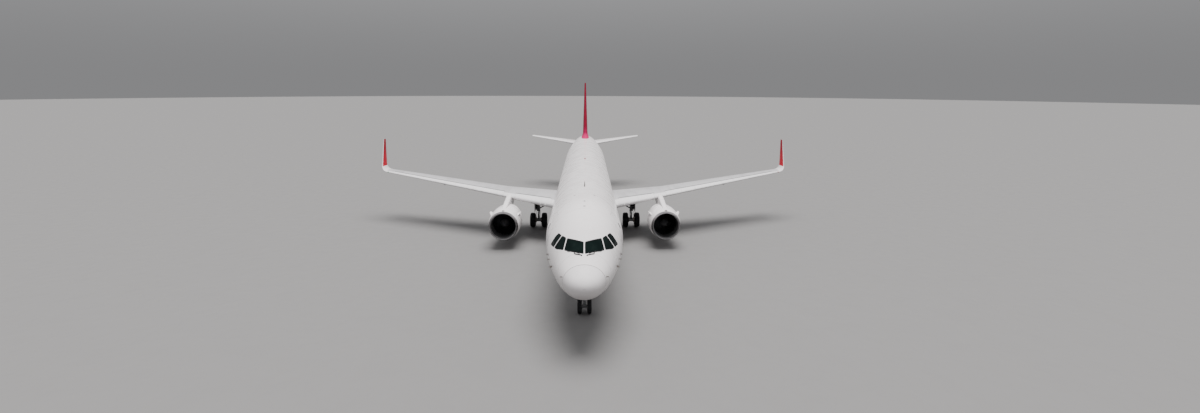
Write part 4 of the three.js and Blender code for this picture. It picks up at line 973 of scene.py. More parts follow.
def section_values(stations):
    """Half width, crown, keel and waist at stations: cubic curves over the square root of the station."""
    stations = np.asarray(stations, float)
    rows = FUSELAGE_SECTIONS
    place = np.sqrt(rows[:, 0])
    last = len(rows) - 1
    order = np.arange(last + 1)
    before, after = np.maximum(order - 1, 0), np.minimum(order + 1, last)
    slopes = (rows[after] - rows[before]) / (place[after] - place[before])[:, None]
    slopes[np.isin(rows[:, 0], (BARREL_START, BARREL_END))] = 0
    i = np.clip(np.searchsorted(rows[:, 0], stations) - 1, 0, last - 1)
    span = (place[i + 1] - place[i])[..., None]
    t = (np.sqrt(stations) - place[i])[..., None] / span
    values = rows[i] + (rows[i + 1] - rows[i]) * t * t * (3 - 2 * t)
    values = values + span * (slopes[i] * t * (1 - t) ** 2 - slopes[i + 1] * t * t * (1 - t))
    return [values[..., column] for column in (HALF_WIDTH, CROWN, KEEL, WAIST)]


def skin(sign=1):
    """The fuselage's surface over station and girth, the distance round from the widest point upward."""
    def surface(stations, girth, lift):
        half, crown, keel, waist = section_values(stations)
        angle = girth / BARREL_RADIUS
        rise = np.where(np.sin(angle) > 0, crown - waist, waist - keel)
        x = np.maximum(half + lift, 1) * np.cos(angle)
        z = waist + np.maximum(rise + lift, 1) * np.sin(angle)
        return np.stack([sign * x, aft(stations), z], -1)
    return surface


def girth_at(stations, heights):
    _, crown, keel, waist = section_values(stations)
    rise = np.where(heights > waist, crown - waist, waist - keel)
    return np.arcsin(np.clip((heights - waist) / rise, -1, 1)) * BARREL_RADIUS


def flank(sign):
    """The fuselage's surface over station and height."""
    return lambda stations, heights, lift: skin(sign)(stations, girth_at(stations, heights), lift)


def spot_on(surface, u, v, lift=0.0):
    """One point of a surface."""
    return surface(np.array([u]), np.array([v]), lift)[0]


def skin_out(station, height):
    return float(spot_on(flank(1), station, height)[0])


def keel_at(station):
    return float(section_values(station)[2])


def pane_outline(corners):
    """A pane's outline over station and girth: its edges are straight, as those of flat glass."""
    station, out, height = rounded(corners, PANE_ROUNDING, spacing=60).T
    half, crown, _, waist = section_values(station)
    bulge = waist + (crown - waist) * np.sqrt(1 - (out / half) ** 2) - height
    station = station - PANE_FLATNESS * np.maximum(bulge, 0)
    half, crown, _, waist = section_values(station)
    angle = np.arctan2((height - waist) / (crown - waist), out / half)
    return shrunk(np.stack([station, angle * BARREL_RADIUS], 1), -PANE_GROWTH)


def body_loft(stations, lift=0.0, paint=FIRST):
    girth = np.linspace(0, TURN * BARREL_RADIUS, FUSELAGE_SIDES, endpoint=False)
    rings = [skin()(np.full(FUSELAGE_SIDES, float(station)), girth, lift) for station in stations]
    return loft(rings, paint=paint)


def half_height(thickness, x):
    return 5 * thickness * (0.2969 * np.sqrt(x) - 0.126 * x - 0.3516 * x ** 2 + 0.2843 * x ** 3
                            - 0.1015 * x ** 4)


def middle_height(camber, x):
    return 4 * camber * x * (1 - x)


def wing_ring(row, sign, camber):
    """A section's ring: lean turns it about the chord from flat (0) to upright (90 degrees)."""
    shares = (1 - np.cos(np.linspace(0, math.pi, AIRFOIL_POINTS))) / 2
    chord, lean = row[TRAILING] - row[LEADING], math.radians(row[LEAN])
    half = half_height(row[THICKNESS], shares) * chord
    middle = middle_height(camber, shares) * chord
    share = np.concatenate([shares[::-1], shares[1:]])
    height = np.concatenate([(middle + half)[::-1], (middle - half)[1:]])
    x = sign * (row[OUT] - height * math.sin(lean))
    return np.stack([x, aft(row[LEADING] + share * chord), row[UP] + height * math.cos(lean)], 1)


def section_at(sections, column, value):
    rows = np.array(sections, float)
    i = int(np.clip(np.searchsorted(rows[:, column], value) - 1, 0, len(rows) - 2))
    near, far = rows[i], rows[i + 1]
    t = (value - near[column]) / (far[column] - near[column])
    row = near + t * (far - near)
    depth = [end[THICKNESS] * (end[TRAILING] - end[LEADING]) for end in (near, far)]
    row[THICKNESS] = (depth[0] + t * (depth[1] - depth[0])) / (row[TRAILING] - row[LEADING])
    return row


def wing_loft(sections, sign, camber, column=OUT):
    """The fixed sections joined by flat panels, with a short bend at each inner section."""
    values = [row[column] for row in sections]
    bends = values[1:-1]
    ribs = [place for place in np.linspace(values[0], values[-1], WING_RIBS)
            if all(abs(place - bend) > BEND for bend in bends)]
    places = sorted(ribs + [bend + side * BEND for bend in bends for side in (-1, 1)])
    whole = loft([wing_ring(section_at(sections, column, value), sign, camber) for value in places])
    count = 2 * AIRFOIL_POINTS - 1
    for number in range((len(places) - 1) * count):
        away = abs(number % count + 1 - AIRFOIL_POINTS)
        whole.paints[number] = THIRD if away < EDGE_PANELS else FIRST
    return whole


def wing_skin(sections, camber, sign, above=1):
    """A wing's upper or lower surface over distance out and station."""
    rows = np.array(sections, float)

    def surface(out, station, lift):
        leading, trailing, up = [np.interp(out, rows[:, OUT], rows[:, c]) for c in (LEADING, TRAILING, UP)]
        depth = np.interp(out, rows[:, OUT], rows[:, THICKNESS] * (rows[:, TRAILING] - rows[:, LEADING]))
        share = np.clip((station - leading) / (trailing - leading), 0, 1)
        middle = middle_height(camber, share) * (trailing - leading)
        height = up + middle + above * (half_height(depth, share) + lift)
        return np.stack([sign * out, aft(station), height], -1)
    return surface


def chord_station(out, share, sections=WING_SECTIONS):
    row = section_at(sections, OUT, out)
    return row[LEADING] + share * (row[TRAILING] - row[LEADING])


def edge_prism(start, end, share, sign, grow, behind):
    """Everything ahead of a share of the chord, or behind it, between two distances out."""
    edge = 1 + PAST_EDGE if behind else -PAST_EDGE
    slack = -grow if behind else grow
    corners = ((start, -grow, share, slack), (end, grow, share, slack), (end, grow, edge, 0),
               (start, -grow, edge, 0))
    outline = [(sign * (out + wider), aft(chord_station(out, chord) + further))
               for out, wider, chord, further in corners]
    return prism(outline, "Z", 0, HEIGHT)


def hinge_point(surface, value, sign):
    sections, column, _, _, share, camber = surface
    row = section_at(sections, column, value)
    chord = row[TRAILING] - row[LEADING]
    point = Vector((sign * row[OUT], aft(row[LEADING] + share * chord),
                    row[UP] + middle_height(camber, share) * chord))
    return point, HINGE_NOSE_FILL * half_height(row[THICKNESS] * chord, share)


def hinged(whole, surface, sign):
    """Splits a surface: the moving part as a new object, and the fixed part left in the old one."""
    _, _, first, last, _, _ = surface
    (start, start_nose), (end, end_nose) = [hinge_point(surface, value, sign) for value in (first, last)]
    length = (end - start).length
    along = (end - start).normalized()
    back = (Vector((0, 1, 0)) - along * along.y).normalized()
    turn = Matrix((back, along.cross(back), along)).transposed().to_4x4()
    place = Matrix.Translation(start) @ turn

    def behind_hinge(inset, grow):
        """All behind the hinge line, with a round nose ahead of it."""
        turns = np.linspace(math.pi, 0, HINGE_NOSE_POINTS)
        rings = []
        for level, nose in ((inset, start_nose + grow), (length - inset, end_nose + grow)):
            arc = [(-nose * math.sin(angle), nose * math.cos(angle)) for angle in turns]
            box = [(0, SURFACE_REACH), (SURFACE_REACH, SURFACE_REACH), (SURFACE_REACH, -SURFACE_REACH),
                   (0, -SURFACE_REACH)]
            rings.append([(x, y, level) for x, y in box + arc])
        return loft(rings).placed(place)

    pin = rod(start + along * PIN_INSET, end - along * PIN_INSET, HINGE_PIN_RADIUS)
    moving = carve(copied(whole), ("INTERSECT", behind_hinge(HINGE_GAP, 0)), ("UNION", pin))
    carve(whole, ("DIFFERENCE", behind_hinge(0, HINGE_GAP)))
    return moving


def cabin_windows(sign, pockets, panes, shades):
    """One side's windows, some with their shade drawn, left out where an exit is."""
    face, row = flank(sign), WINDOW_ROW
    for station in np.arange(row["first"], row["last"] + 1, row["pitch"]):
        if min(abs(station - exit_station) for exit_station, *_ in MID_EXITS) < EXIT_CLEARANCE:
            continue
        outline = rectangle((station, row["height"]), row["width"], row["tall"], row["corner"], 80)
        glass_outline = shrunk(outline, row["glass_inset"])
        pockets.append(patch(face, outline, *LAYER["window_pocket"], 1, SECOND))
        panes.append(patch(face, glass_outline, *LAYER["window_glass"], 1))
        panes.append(band(face, outline, row["frame"], *LAYER["window_frame"], SECOND))
        if random.random() < SHADE_SHARE:
            low = row["height"] + row["tall"] * (0.5 - random.choice(SHADE_DROPS))
            shade = glass_outline.copy()
            shade[:, 1] = np.maximum(shade[:, 1], low)
            shades.append(patch(face, shade, *LAYER["shade"], 1, THIRD))


def body_stations():
    """Stations of the fuselage's rings, closer together where the nose curves more."""
    nose = np.linspace(math.sqrt(RADOME_STATION + SEAM / 2), math.sqrt(BARREL_START), NOSE_RINGS) ** 2
    barrel = np.linspace(BARREL_START, BARREL_END, BARREL_RINGS)
    tail = np.linspace(BARREL_END, TAIL_CONE_STATION - SEAM / 2, TAIL_RINGS)
    return [*nose, *barrel[1:-1], *tail]


def show_fuselage():
    panes, shades, pockets = [], [], []
    for _, sign in SIDES:
        cabin_windows(sign, pockets, panes, shades)
        for station, sill, width, height in MID_EXITS:
            outline = rectangle((station, sill + height / 2), width, height, EXIT_CORNER)
            pockets.append(band(flank(sign), outline, EXIT_LINE, *LAYER["exit_line"], SECOND))
        for _, station, sill, width, height in PASSENGER_DOORS:
            outline = rectangle((station, sill + height / 2), width, height, DOOR_CORNER)
            pockets.append(patch(flank(sign), outline, *LAYER["door_pocket"], 3, SECOND))
        for corners in COCKPIT_PANES:
            pockets.append(patch(skin(sign), pane_outline(corners), *LAYER["pane_pocket"], 3, FOURTH))
    bays = [cargo_prism(door, RUNNING_GAP, CARGO_TOP_GAP, THIRD) for door in CARGO_DOORS]
    y, half = aft(NOSE_GEAR_STATION), NOSE_BAY["half"]
    front, back = y - NOSE_BAY["ahead"], y + NOSE_BAY["behind"]
    bays.append(block((-half, front, 0), (half, back, NOSE_BAY["roof"]), THIRD))
    pads = together([jack_pad((0, aft(station), keel_at(station))) for station in JACK_STATIONS])
    body = new_object("body", body_loft(body_stations()))
    carve(body, ("DIFFERENCE", together(bays)), ("DIFFERENCE", together(pockets)), ("UNION", pads))
    show("fuselage_skin", body, [WHITE, FRAME_GREY, BAY_PAINT, SEAL], "white_paint", replaced=["fuselage"])
    show("cabin_windows", together(panes + shades), [CABIN_GLASS, FRAME_GREY, SHADE], "cockpit_glass")
    tip = np.linspace(RADOME_TIP, math.sqrt(RADOME_STATION - SEAM / 2), RADOME_RINGS) ** 2
    show("nose_radome", body_loft(tip), RADOME, "white_paint", replaced=["radome"])
    cone = new_object("cone", body_loft(np.linspace(TAIL_CONE_STATION + SEAM / 2, LENGTH, CONE_RINGS)))
    waist = FUSELAGE_SECTIONS[-1, WAIST]
    ends = [(0, aft(station), waist) for station in (LENGTH - EXHAUST["depth"], LENGTH + EXHAUST["beyond"])]
    carve(cone, ("DIFFERENCE", rod(*ends, EXHAUST["radius"], segments=64, paint=SECOND)))
    show("exhaust_cone", cone, [HOT_METAL, SEAL], "hot_metal", replaced=["tail_cone"], bevel=4)


def jack_pad(place):
    x, y, z = place
    return rod((x, y, z - JACK_PAD["drop"]), (x, y, z + JACK_PAD["rise"]), JACK_PAD["radius"], segments=40)


def cargo_prism(door, grow, top_grow, paint=FIRST):
    """A cargo door's outline: its sill edge slopes along the skin's normal, so that it can swing out."""
    _, station, sill, width, height = door
    slope, edge = math.radians(CARGO["slope"]), skin_out(station, sill)
    out, down = math.cos(slope), math.sin(slope)
    inner, outer = [(edge + out * reach - down * grow, sill - down * reach - out * grow)
                    for reach in (-CARGO["sill"] * CARGO["thickness"], CARGO["reach"])]
    top = sill + height + top_grow
    outline = [inner, outer, (BARREL_START, outer[1]), (BARREL_START, top), (CARGO["inner"], top),
               (CARGO["inner"], inner[1])]
    half = width / 2 + grow
    return prism([(-x, z) for x, z in outline], "Y", aft(station) - half, aft(station) + half, paint)


def cargo_ribs(station, sill, width, height):
    """Uprights and rails on the lining of a cargo door."""
    face, inside = flank(-1), -CARGO["thickness"]
    uprights, rails = CARGO_UPRIGHTS, CARGO_RAILS
    rows = [((station + share * width, sill + uprights["middle"] * height), uprights["width"],
             uprights["height"] * height, uprights["depth"]) for share in uprights["places"]]
    rows += [((station, sill + share * height), rails["width"] * width, rails["height"], rails["depth"])
             for share in rails["places"]]
    return together([patch(face, rectangle(middle, wide, tall, 4, 90), inside + RIB_LAP, inside - depth, 2)
                     for middle, wide, tall, depth in rows])


def show_cargo_doors():
    for door in CARGO_DOORS:
        name, station, sill, width, height = door
        reach = np.linspace(station - CARGO_PANEL_REACH * width, station + CARGO_PANEL_REACH * width, 5)
        hinge_x = CARGO["hinge_inset"] - skin_out(station, sill + height)
        hinge_z = sill + height - CARGO["hinge_inset"]
        half = width / 2 + RUNNING_GAP - PIN_INSET
        ends = [(hinge_x, aft(station) + end * half, hinge_z) for end in (-1, 1)]
        pin = rod(*ends, CARGO["pin"], paint=SECOND)
        panel = new_object("panel", body_loft(reach))
        lining = body_loft(reach, -CARGO["thickness"], SECOND)
        carve(panel, ("INTERSECT", cargo_prism(door, 0, 0)), ("DIFFERENCE", lining), ("UNION", pin))
        body = f"{name}_cargo_door_panel"
        show(body, panel, [WHITE, BAY_PAINT], "white_paint", body, [f"cargo_door_{name}"])
        ribs = cargo_ribs(station, sill, width, height)
        show(f"{name}_cargo_door_ribs", ribs, BAY_PAINT, "white_paint", body)
        handle = rectangle((station, sill + DOOR_TRIM["cargo"] * height), *CARGO_HANDLE)
        plate = patch(flank(-1), shrunk(handle, CARGO_HANDLE_INSET), *LAYER["cargo_plate"], 1)
        trim = together([band(flank(-1), handle, CARGO_HANDLE_LINE, *LAYER["cargo_line"]), plate])
        show(f"{name}_cargo_door_handle", trim, FRAME_GREY, "white_paint", body)


def show_cockpit():
    panes = []
    seals = []
    for _, sign in SIDES:
        for corners in COCKPIT_PANES:
            outline = pane_outline(corners)
            panes.append(patch(skin(sign), shrunk(outline, PANE_SEAL - PANE_LAP), *LAYER["pane"], 4))
            seals.append(band(skin(sign), outline, PANE_SEAL, *LAYER["pane_seal"]))
    show("cockpit_panes", together(panes), COCKPIT_GLASS, "cockpit_glass", replaced=["cockpit_glazing"])
    show("cockpit_seals", together(seals), SEAL, "cockpit_glass")


def door_window(face, station, height, line):
    """A small window in a door, with its frame."""
    outline = rectangle((station, height), *DOOR_WINDOW)
    frame_shape = band(face, shrunk(outline, WINDOW_LAP - line), line, *LAYER["frame"], SECOND)
    return [patch(face, outline, *LAYER["glass"], 2), frame_shape]


def door_trim(face, station, sill, width, height):
    """A passenger door's window, handle, grip and vents."""
    place = lambda along, up: (station + along * width, sill + up * height)
    handle = place(*DOOR_TRIM["handle"])
    trim = door_window(face, station, sill + DOOR_TRIM["window"] * height, DOOR_WINDOW_LINE)
    trim.append(band(face, rectangle(handle, *DOOR_HANDLE), DOOR_HANDLE_LINE, *LAYER["line"], SECOND))
    trim.append(patch(face, rectangle(handle, *DOOR_GRIP), *LAYER["grip"], 1, SECOND))
    trim += [patch(face, rectangle(place(*vent), *DOOR_VENT), *LAYER["vent"], 1, SECOND)
             for vent in DOOR_TRIM["vents"]]
    return together(trim)


def show_passenger_doors():
    for side, sign in SIDES:
        face = flank(sign)
        for name, station, sill, width, height in PASSENGER_DOORS:
            middle = (station, sill + height / 2)
            outline = rectangle(middle, width - DOOR_GAP, height - DOOR_GAP, PANEL_CORNER)
            panel = patch(face, outline, *LAYER["door_panel"], 6)
            show(f"{name}_door_panel_{side}", panel, WHITE, "white_paint",
                 replaced=[f"door_{name}_{side}"], bevel=3)
            show(f"{name}_door_trim_{side}", door_trim(face, station, sill, width, height),
                 [CABIN_GLASS, FRAME_GREY], "white_paint")
        exits = []
        for station, sill, _, height in MID_EXITS:
            exits += door_window(face, station, WINDOW_ROW["height"], EXIT_WINDOW_LINE)
            handle = rectangle((station, sill + DOOR_TRIM["exit"] * height), *EXIT_HANDLE)
            exits.append(band(face, handle, EXIT_HANDLE_LINE, *LAYER["line"], SECOND))
        show(f"mid_exit_trim_{side}", together(exits), [CABIN_GLASS, FRAME_GREY], "white_paint")


def well_fittings(x, y):
    """Pipes, a box and a ring under the roof of a wheel well."""
    radius, roof = WHEEL_WELL["radius"], WHEEL_WELL["roof"]
    height = roof - WELL_PIPES["below"]
    parts = []
    for spread in WELL_PIPES["spreads"]:
        reach = WELL_PIPES["reach"] * math.sqrt(radius ** 2 - spread ** 2)
        thickness = WELL_PIPES["radius"] + abs(spread) / WELL_PIPES["growth"]
        parts.append(rod((x + spread, y - reach, height), (x + spread, y + reach, height), thickness))
    parts.append(block(*WELL_BOX).moved(x, y, roof))
    ring = [(along, radius + beyond) for along, beyond in WELL_RING["profile"]]
    parts.append(turned(ring, WHEEL_WELL["sides"], "Z", SECOND).moved(x, y, roof - WELL_RING["below"]))
    return parts


def show_belly():
    rounding = lambda value: np.sign(value) * np.abs(value) ** (2 / FAIRING_SQUARENESS)
    angles = np.linspace(0, TURN, FAIRING_POINTS, endpoint=False)
    across, upward = rounding(np.cos(angles)), rounding(np.sin(angles))
    rings = []
    for station, half, top, bottom in smooth(FAIRING_SECTIONS, 8):
        middle, rise = (top + bottom) / 2, (top - bottom) / 2
        rings.append(np.stack([half * across, np.full_like(across, aft(station)), middle + rise * upward], 1))
    fairing = new_object("fairing", loft(rings))
    wells = []
    fittings = []
    for _, sign in SIDES:
        x, y = sign * WHEEL_WELL["out"], aft(MAIN_GEAR_STATION)
        wells.append(rod((x, y, 0), (x, y, WHEEL_WELL["roof"]), WHEEL_WELL["radius"],
                         segments=WHEEL_WELL["sides"], paint=SECOND))
        fittings += well_fittings(x, y)
    carve(fairing, ("DIFFERENCE", together(wells)))
    show("belly_fairing_skin", fairing, [WHITE, BAY_PAINT], "white_paint", replaced=["belly_fairing"])
    show("wheel_well_fittings", together(fittings), [SHADED_GEAR_PAINT, SEAL], "gear_steel", bevel=3)


def track_fairing(out, length, radius, sign):
    row = section_at(WING_SECTIONS, OUT, out)
    start = row[TRAILING] + TRACK_OVERHANG - length
    profile = smooth(TRACK_SHAPE, 7) * (length, radius)
    profile[:, 1] = np.maximum(profile[:, 1], 0.5)
    shape = turned(profile, 28, "Y").scaled(*TRACK_SQUASH)
    return shape.moved(sign * out, aft(start), row[UP] - TRACK_DROP * radius)


def slat_joint(out, sign):
    """A thin cut across a slat."""
    return block((sign * out - SEAM / 2, aft(WING_SECTIONS[0][LEADING]), 0),
                 (sign * out + SEAM / 2, aft(WING_SECTIONS[-1][TRAILING]), HEIGHT))


def spoiler_outline(start, end):
    front, back = SPOILER_CHORD
    corners = ((start, front), (end, front), (end, back), (start, back))
    return rounded([(out, chord_station(out, share)) for out, share in corners], 12, 2, 400)


def show_wings():
    for side, sign in SIDES:
        whole = in_triangles(new_object("whole", wing_loft(WING_SECTIONS, sign, CAMBER)))
        cutters = []
        for name, start, end, share in SLATS:
            slat = carve(copied(whole), ("INTERSECT", edge_prism(start, end, share, sign, 0, False)))
            joints = [slat_joint(out, sign) for out in SLAT_JOINTS if start < out < end]
            if joints:
                carve(slat, ("DIFFERENCE", together(joints)))
            show(f"{name}_slat_skin_{side}", slat, [SLAT] * 3, "slat_grey",
                 replaced=[f"slat_{name}_{side}"], angle=40)
            cutters.append(edge_prism(start, end, share, sign, SEAM, False))
        for name, start, end, share in FLAPS:
            flap = carve(copied(whole), ("INTERSECT", edge_prism(start, end, share, sign, 0, True)))
            show(f"{name}_flap_skin_{side}", flap, GREY, "wing_grey",
                 replaced=[f"flap_{name}_{side}"], angle=40)
            cutters.append(edge_prism(start, end, share, sign, SEAM, True))
        aileron = hinged(whole, AILERON, sign)
        show(f"aileron_skin_{side}", aileron, GREY, "wing_grey", f"aileron_panel_{side}",
             [f"aileron_{side}"], angle=40)
        top, foot = [wing_skin(WING_SECTIONS, CAMBER, sign, above) for above in (1, -1)]
        spoilers = []
        for start, end in SPOILERS:
            outline = spoiler_outline(start, end)
            spoilers.append(patch(top, shrunk(outline, SPOILER_GAP), *LAYER["spoiler"]))
            cutters.append(patch(top, outline, *LAYER["spoiler_pocket"], paint=SECOND))
        carve(whole, *[("DIFFERENCE", cutter) for cutter in cutters])
        jack = spot_on(foot, WING_JACK["out"], chord_station(WING_JACK["out"], WING_JACK["share"]))
        carve(whole, ("UNION", jack_pad(jack)))
        show(f"wing_skin_{side}", whole, [GREY, SEAL, SLAT], "wing_grey", replaced=[f"wing_{side}"], angle=40)
        show(f"spoilers_{side}", together(spoilers), GREY, "wing_grey", angle=40)
        canoes = together([track_fairing(*row, sign) for row in TRACK_FAIRINGS])
        show(f"track_fairings_{side}", canoes, GREY, "wing_grey", angle=50)
        show_winglet(side, sign)


def show_winglet(side, sign):
    """The winglet: red on its inboard face above the bend, and pale elsewhere."""
    rings = smooth([wing_ring(row, sign, CAMBER) for row in WINGLET_SECTIONS], 7)
    blade = loft(rings)
    count = rings.shape[1]
    for number in range((len(rings) - 1) * count):
        level, place = divmod(number, count)
        inboard = place < AIRFOIL_POINTS - 1 - WINGLET_EDGE
        blade.paints[number] = FIRST if inboard and level >= WINGLET_BLEND else SECOND
    show(f"winglet_skin_{side}", blade, [RED, SLAT], "winglet_red", replaced=[f"winglet_{side}"], angle=50)


def fin_ring(height):
    """A ring of the fin, drawn forward and made thicker toward the dorsal fillet's foot."""
    row = section_at(FIN_SECTIONS, UP, height)
    depth = row[THICKNESS] * (row[TRAILING] - row[LEADING])
    fade = np.clip((DORSAL["top"] - height) / (DORSAL["top"] - DORSAL["foot"]), 0, DORSAL["most"])
    row[LEADING] -= DORSAL["reach"] * fade ** DORSAL["power"]
    row[THICKNESS] = depth * (1 + DORSAL["flare"] * fade ** 2) / (row[TRAILING] - row[LEADING])
    return wing_ring(row, 1, 0)


def show_tail():
    for side, sign in SIDES:
        whole = in_triangles(new_object("whole", wing_loft(STABILIZER_SECTIONS, sign, 0)))
        elevator = hinged(whole, ELEVATOR, sign)
        show(f"stabilizer_skin_{side}", whole, [TAIL_WHITE, SEAL, SLAT], "white_paint",
             replaced=[f"stabilizer_{side}"], angle=40)
        show(f"elevator_skin_{side}", elevator, TAIL_WHITE, "white_paint", f"elevator_panel_{side}",
             [f"elevator_{side}"], angle=40)
    foot = np.linspace(DORSAL["foot"], DORSAL["top"], DORSAL_RINGS)
    heights = [FIN_SECTIONS[0][UP], *foot, *np.linspace(DORSAL["top"], HEIGHT, FIN_RINGS)[1:]]
    fin = in_triangles(new_object("fin_blade", loft([fin_ring(height) for height in heights])))
    rudder = hinged(fin, RUDDER, 1)
    show("fin_skin", fin, FIN, "fin_crimson", replaced=["fin"], angle=40)
    show("rudder_skin", rudder, FIN, "fin_crimson", "rudder_panel", ["rudder"], angle=40)


def engine_part(rows):
    """A turned piece between two rows of the nacelle's outer profile and two rows of the inner one."""
    first, last, inner_first, inner_last = rows
    curve = smooth(NACELLE_INNER + NACELLE_OUTER, NACELLE_STEPS)
    offset = len(NACELLE_INNER)
    inner = curve[inner_first * NACELLE_STEPS:inner_last * NACELLE_STEPS + 1]
    outer = curve[(offset + first) * NACELLE_STEPS:(offset + last) * NACELLE_STEPS + 1]
    shape = turned([*inner, *outer, inner[0]], NACELLE_SIDES)
    inside = (len(inner) - 1) * NACELLE_SIDES
    shape.paints[:inside] = [SECOND] * inside
    return shape


def fan_blade(number):
    """Rings from root to tip, each twisted to its own pitch."""
    blade = FAN_BLADE
    root = FAN["hub"] - FAN["sunk"]
    middle = FAN["station"] + FAN["length"] / 2
    rings = []
    for share in np.linspace(0, 1, blade["rings"]):
        radius = root + (FAN["radius"] - root) * share
        pitch = math.radians(blade["root_pitch"] + (blade["tip_pitch"] - blade["root_pitch"]) * share)
        thickness = blade["root_thickness"] * (1 - share) + blade["tip_thickness"] * share
        start = TURN * number / FAN["blades"] + blade["sweep"] * math.sin(math.pi * share)
        ring = []
        for sine, cosine in circle(blade["points"]):
            chordwise = blade["half_chord"] * cosine
            bow = blade["bow"] * sine ** 2 * (1 - blade["bow_loss"] * share)
            across = thickness / 2 * sine + bow
            turn = start + (chordwise * math.sin(pitch) + across * math.cos(pitch)) / radius
            axial = chordwise * math.cos(pitch) - across * math.sin(pitch)
            ring.append((radius * math.sin(turn), middle + axial, radius * math.cos(turn)))
        rings.append(ring)
    return loft(rings)


def fan_rotor():
    """The blades, and the spinner with its ring of bolts and its shaft."""
    start, back, hub = FAN["station"], FAN["station"] + FAN["length"], FAN["hub"]
    front = [(start + along, radius) for along, radius in SPINNER]
    spinner = smooth([*front, (start, hub), (back, hub + FAN["sunk"])])
    shaft = [(back, FAN["shaft"]), (CORE_NOZZLE[0][0] - 1, FAN["shaft"])]
    parts = [fan_blade(number) for number in range(FAN["blades"])]
    parts.append(turned([*spinner, *shaft], 48, paint=SECOND))
    for sine, cosine in circle(SPINNER_BOLTS["count"]):
        ends = [(radius * sine, start + along, radius * cosine)
                for along, radius in (SPINNER_BOLTS["front"], SPINNER_BOLTS["back"])]
        parts.append(rod(*ends, SPINNER_BOLTS["radius"], segments=8, paint=THIRD))
    return together(parts)


def guide_vane(number):
    half = GUIDE_VANES["half_thickness"]
    pitch = Matrix.Rotation(math.radians(GUIDE_VANES["turn"]), 4, "Z")
    round_axis = Matrix.Rotation(TURN * number / GUIDE_VANES["count"], 4, "Y")
    vane = prism(GUIDE_VANES["outline"], "X", -half, half)
    return vane.placed(pitch).moved(y=GUIDE_VANES["station"]).placed(round_axis)


def strake(half):
    length, height = STRAKE["length"], STRAKE["height"]
    corners = [(0, 0), (length, 0), (length, height), (length * STRAKE["crest"], height)]
    outline = rounded(corners, STRAKE["rounding"], 4, 300) + (STRAKE["start"], STRAKE["foot"])
    fin = prism(outline, "X", -STRAKE["thickness"] / 2, STRAKE["thickness"] / 2)
    return fin.placed(Matrix.Rotation(math.radians(STRAKE["turn"]) * half, 4, "Y"))


def pylon_shape():
    top, bottom, width = [np.array(rows, float) for rows in (PYLON_TOP, PYLON_BOTTOM, PYLON_WIDTH)]
    even = np.linspace(top[0, 0], top[-1, 0], PYLON_RINGS)
    rings = []
    for station in np.unique(np.concatenate([top[:, 0], bottom[:, 0], even])):
        half, high, low = [np.interp(station, *rows.T) for rows in (width, top, bottom)]
        corner = min(PYLON_ROUNDING["of_half"] * half, PYLON_ROUNDING["of_height"] * (high - low))
        ring = rounded([(-half, low), (half, low), (half, high), (-half, high)], corner, 6, UNDIVIDED)
        rings.append([(x, station, z) for x, z in ring])
    return loft(rings)


def cowl_skin(along, girth, lift):
    """The fan cowl over distance aft of the inlet and distance round from its top."""
    radius = np.interp(along, *np.array(NACELLE_OUTER, float).T) + lift
    angle = girth / COWL_GIRTH_RADIUS
    return np.stack([radius * np.sin(angle), along, radius * np.cos(angle)], -1)


def cowl_fittings():
    half, low, high = COWL_LATCHES["half"], COWL_LATCHES["low"], COWL_LATCHES["high"]
    parts = [block((-half, along, low), (half, along + COWL_LATCHES["length"], high))
             for along in COWL_LATCHES["stations"]]
    for along, girth, length, width, radius, spacing, line, lift in COWL_LINES:
        outline = rectangle((along, girth), length, width, radius, spacing)
        parts.append(band(cowl_skin, outline, line, lift, -3))
    return together(parts)


def show_engines():
    rotor, fittings, pylon = fan_rotor(), cowl_fittings(), pylon_shape()
    core = turned([*smooth(CORE_NOZZLE, 7), *CORE_STEP, *smooth(CORE_PLUG, 7)[:-1]], 72)
    vanes = together([guide_vane(number) for number in range(GUIDE_VANES["count"])])
    vent = together([turned(VENT_RING, 32, "Z"), turned(VENT_BOWL, 32, "Z", SECOND)]).moved(*VENT_PLACE)
    strakes = together([strake(half) for half in (-1, 1)])
    # Looks of the nacelle: name, rows, materials, slot and node
    pieces = (
        ("lip", LIP_ROWS, [LIP_METAL, LIP_INSIDE], "bare_metal", "inlet_lip"),
        ("cowl", COWL_ROWS, [WHITE, SHADED_LINER], "white_paint", "fan_cowl"),
        ("sleeve", SLEEVE_ROWS, [WHITE, SHADED_LINER], "white_paint", "reverser_sleeve"),
    )
    for side, sign in SIDES:
        place = (sign * ENGINE_OUT, aft(INLET_STATION), ENGINE_HEIGHT)
        for name, rows, materials, slot, node in pieces:
            show(f"{name}_{side}", engine_part(rows).moved(*place), materials, slot,
                 replaced=[f"{node}_{side}"], angle=50, bevel=3)
        show(f"cowl_fittings_{side}", fittings.moved(*place), FRAME_GREY, "white_paint", bevel=2)
        show(f"strakes_{side}", strakes.moved(*place), WHITE, "white_paint", bevel=9)
        show(f"cowl_vent_{side}", vent.moved(*place), [HOT_METAL, SEAL], "bare_metal")
        show(f"rotor_{side}", rotor.moved(*place), [FAN_METAL, SHADED_SPINNER_PAINT, WHEEL_METAL], "fan_metal",
             f"fan_rotor_{side}", [f"fan_{side}"], angle=40)
        show(f"core_{side}", core.moved(*place), HOT_METAL, "hot_metal",
             replaced=[f"engine_core_{side}"], angle=35)
        show(f"guide_vanes_{side}", vanes.moved(*place), FAN_METAL, "fan_metal")
        show(f"pylon_skin_{side}", pylon.moved(*place), WHITE, "white_paint",
             replaced=[f"pylon_{side}"], angle=50)


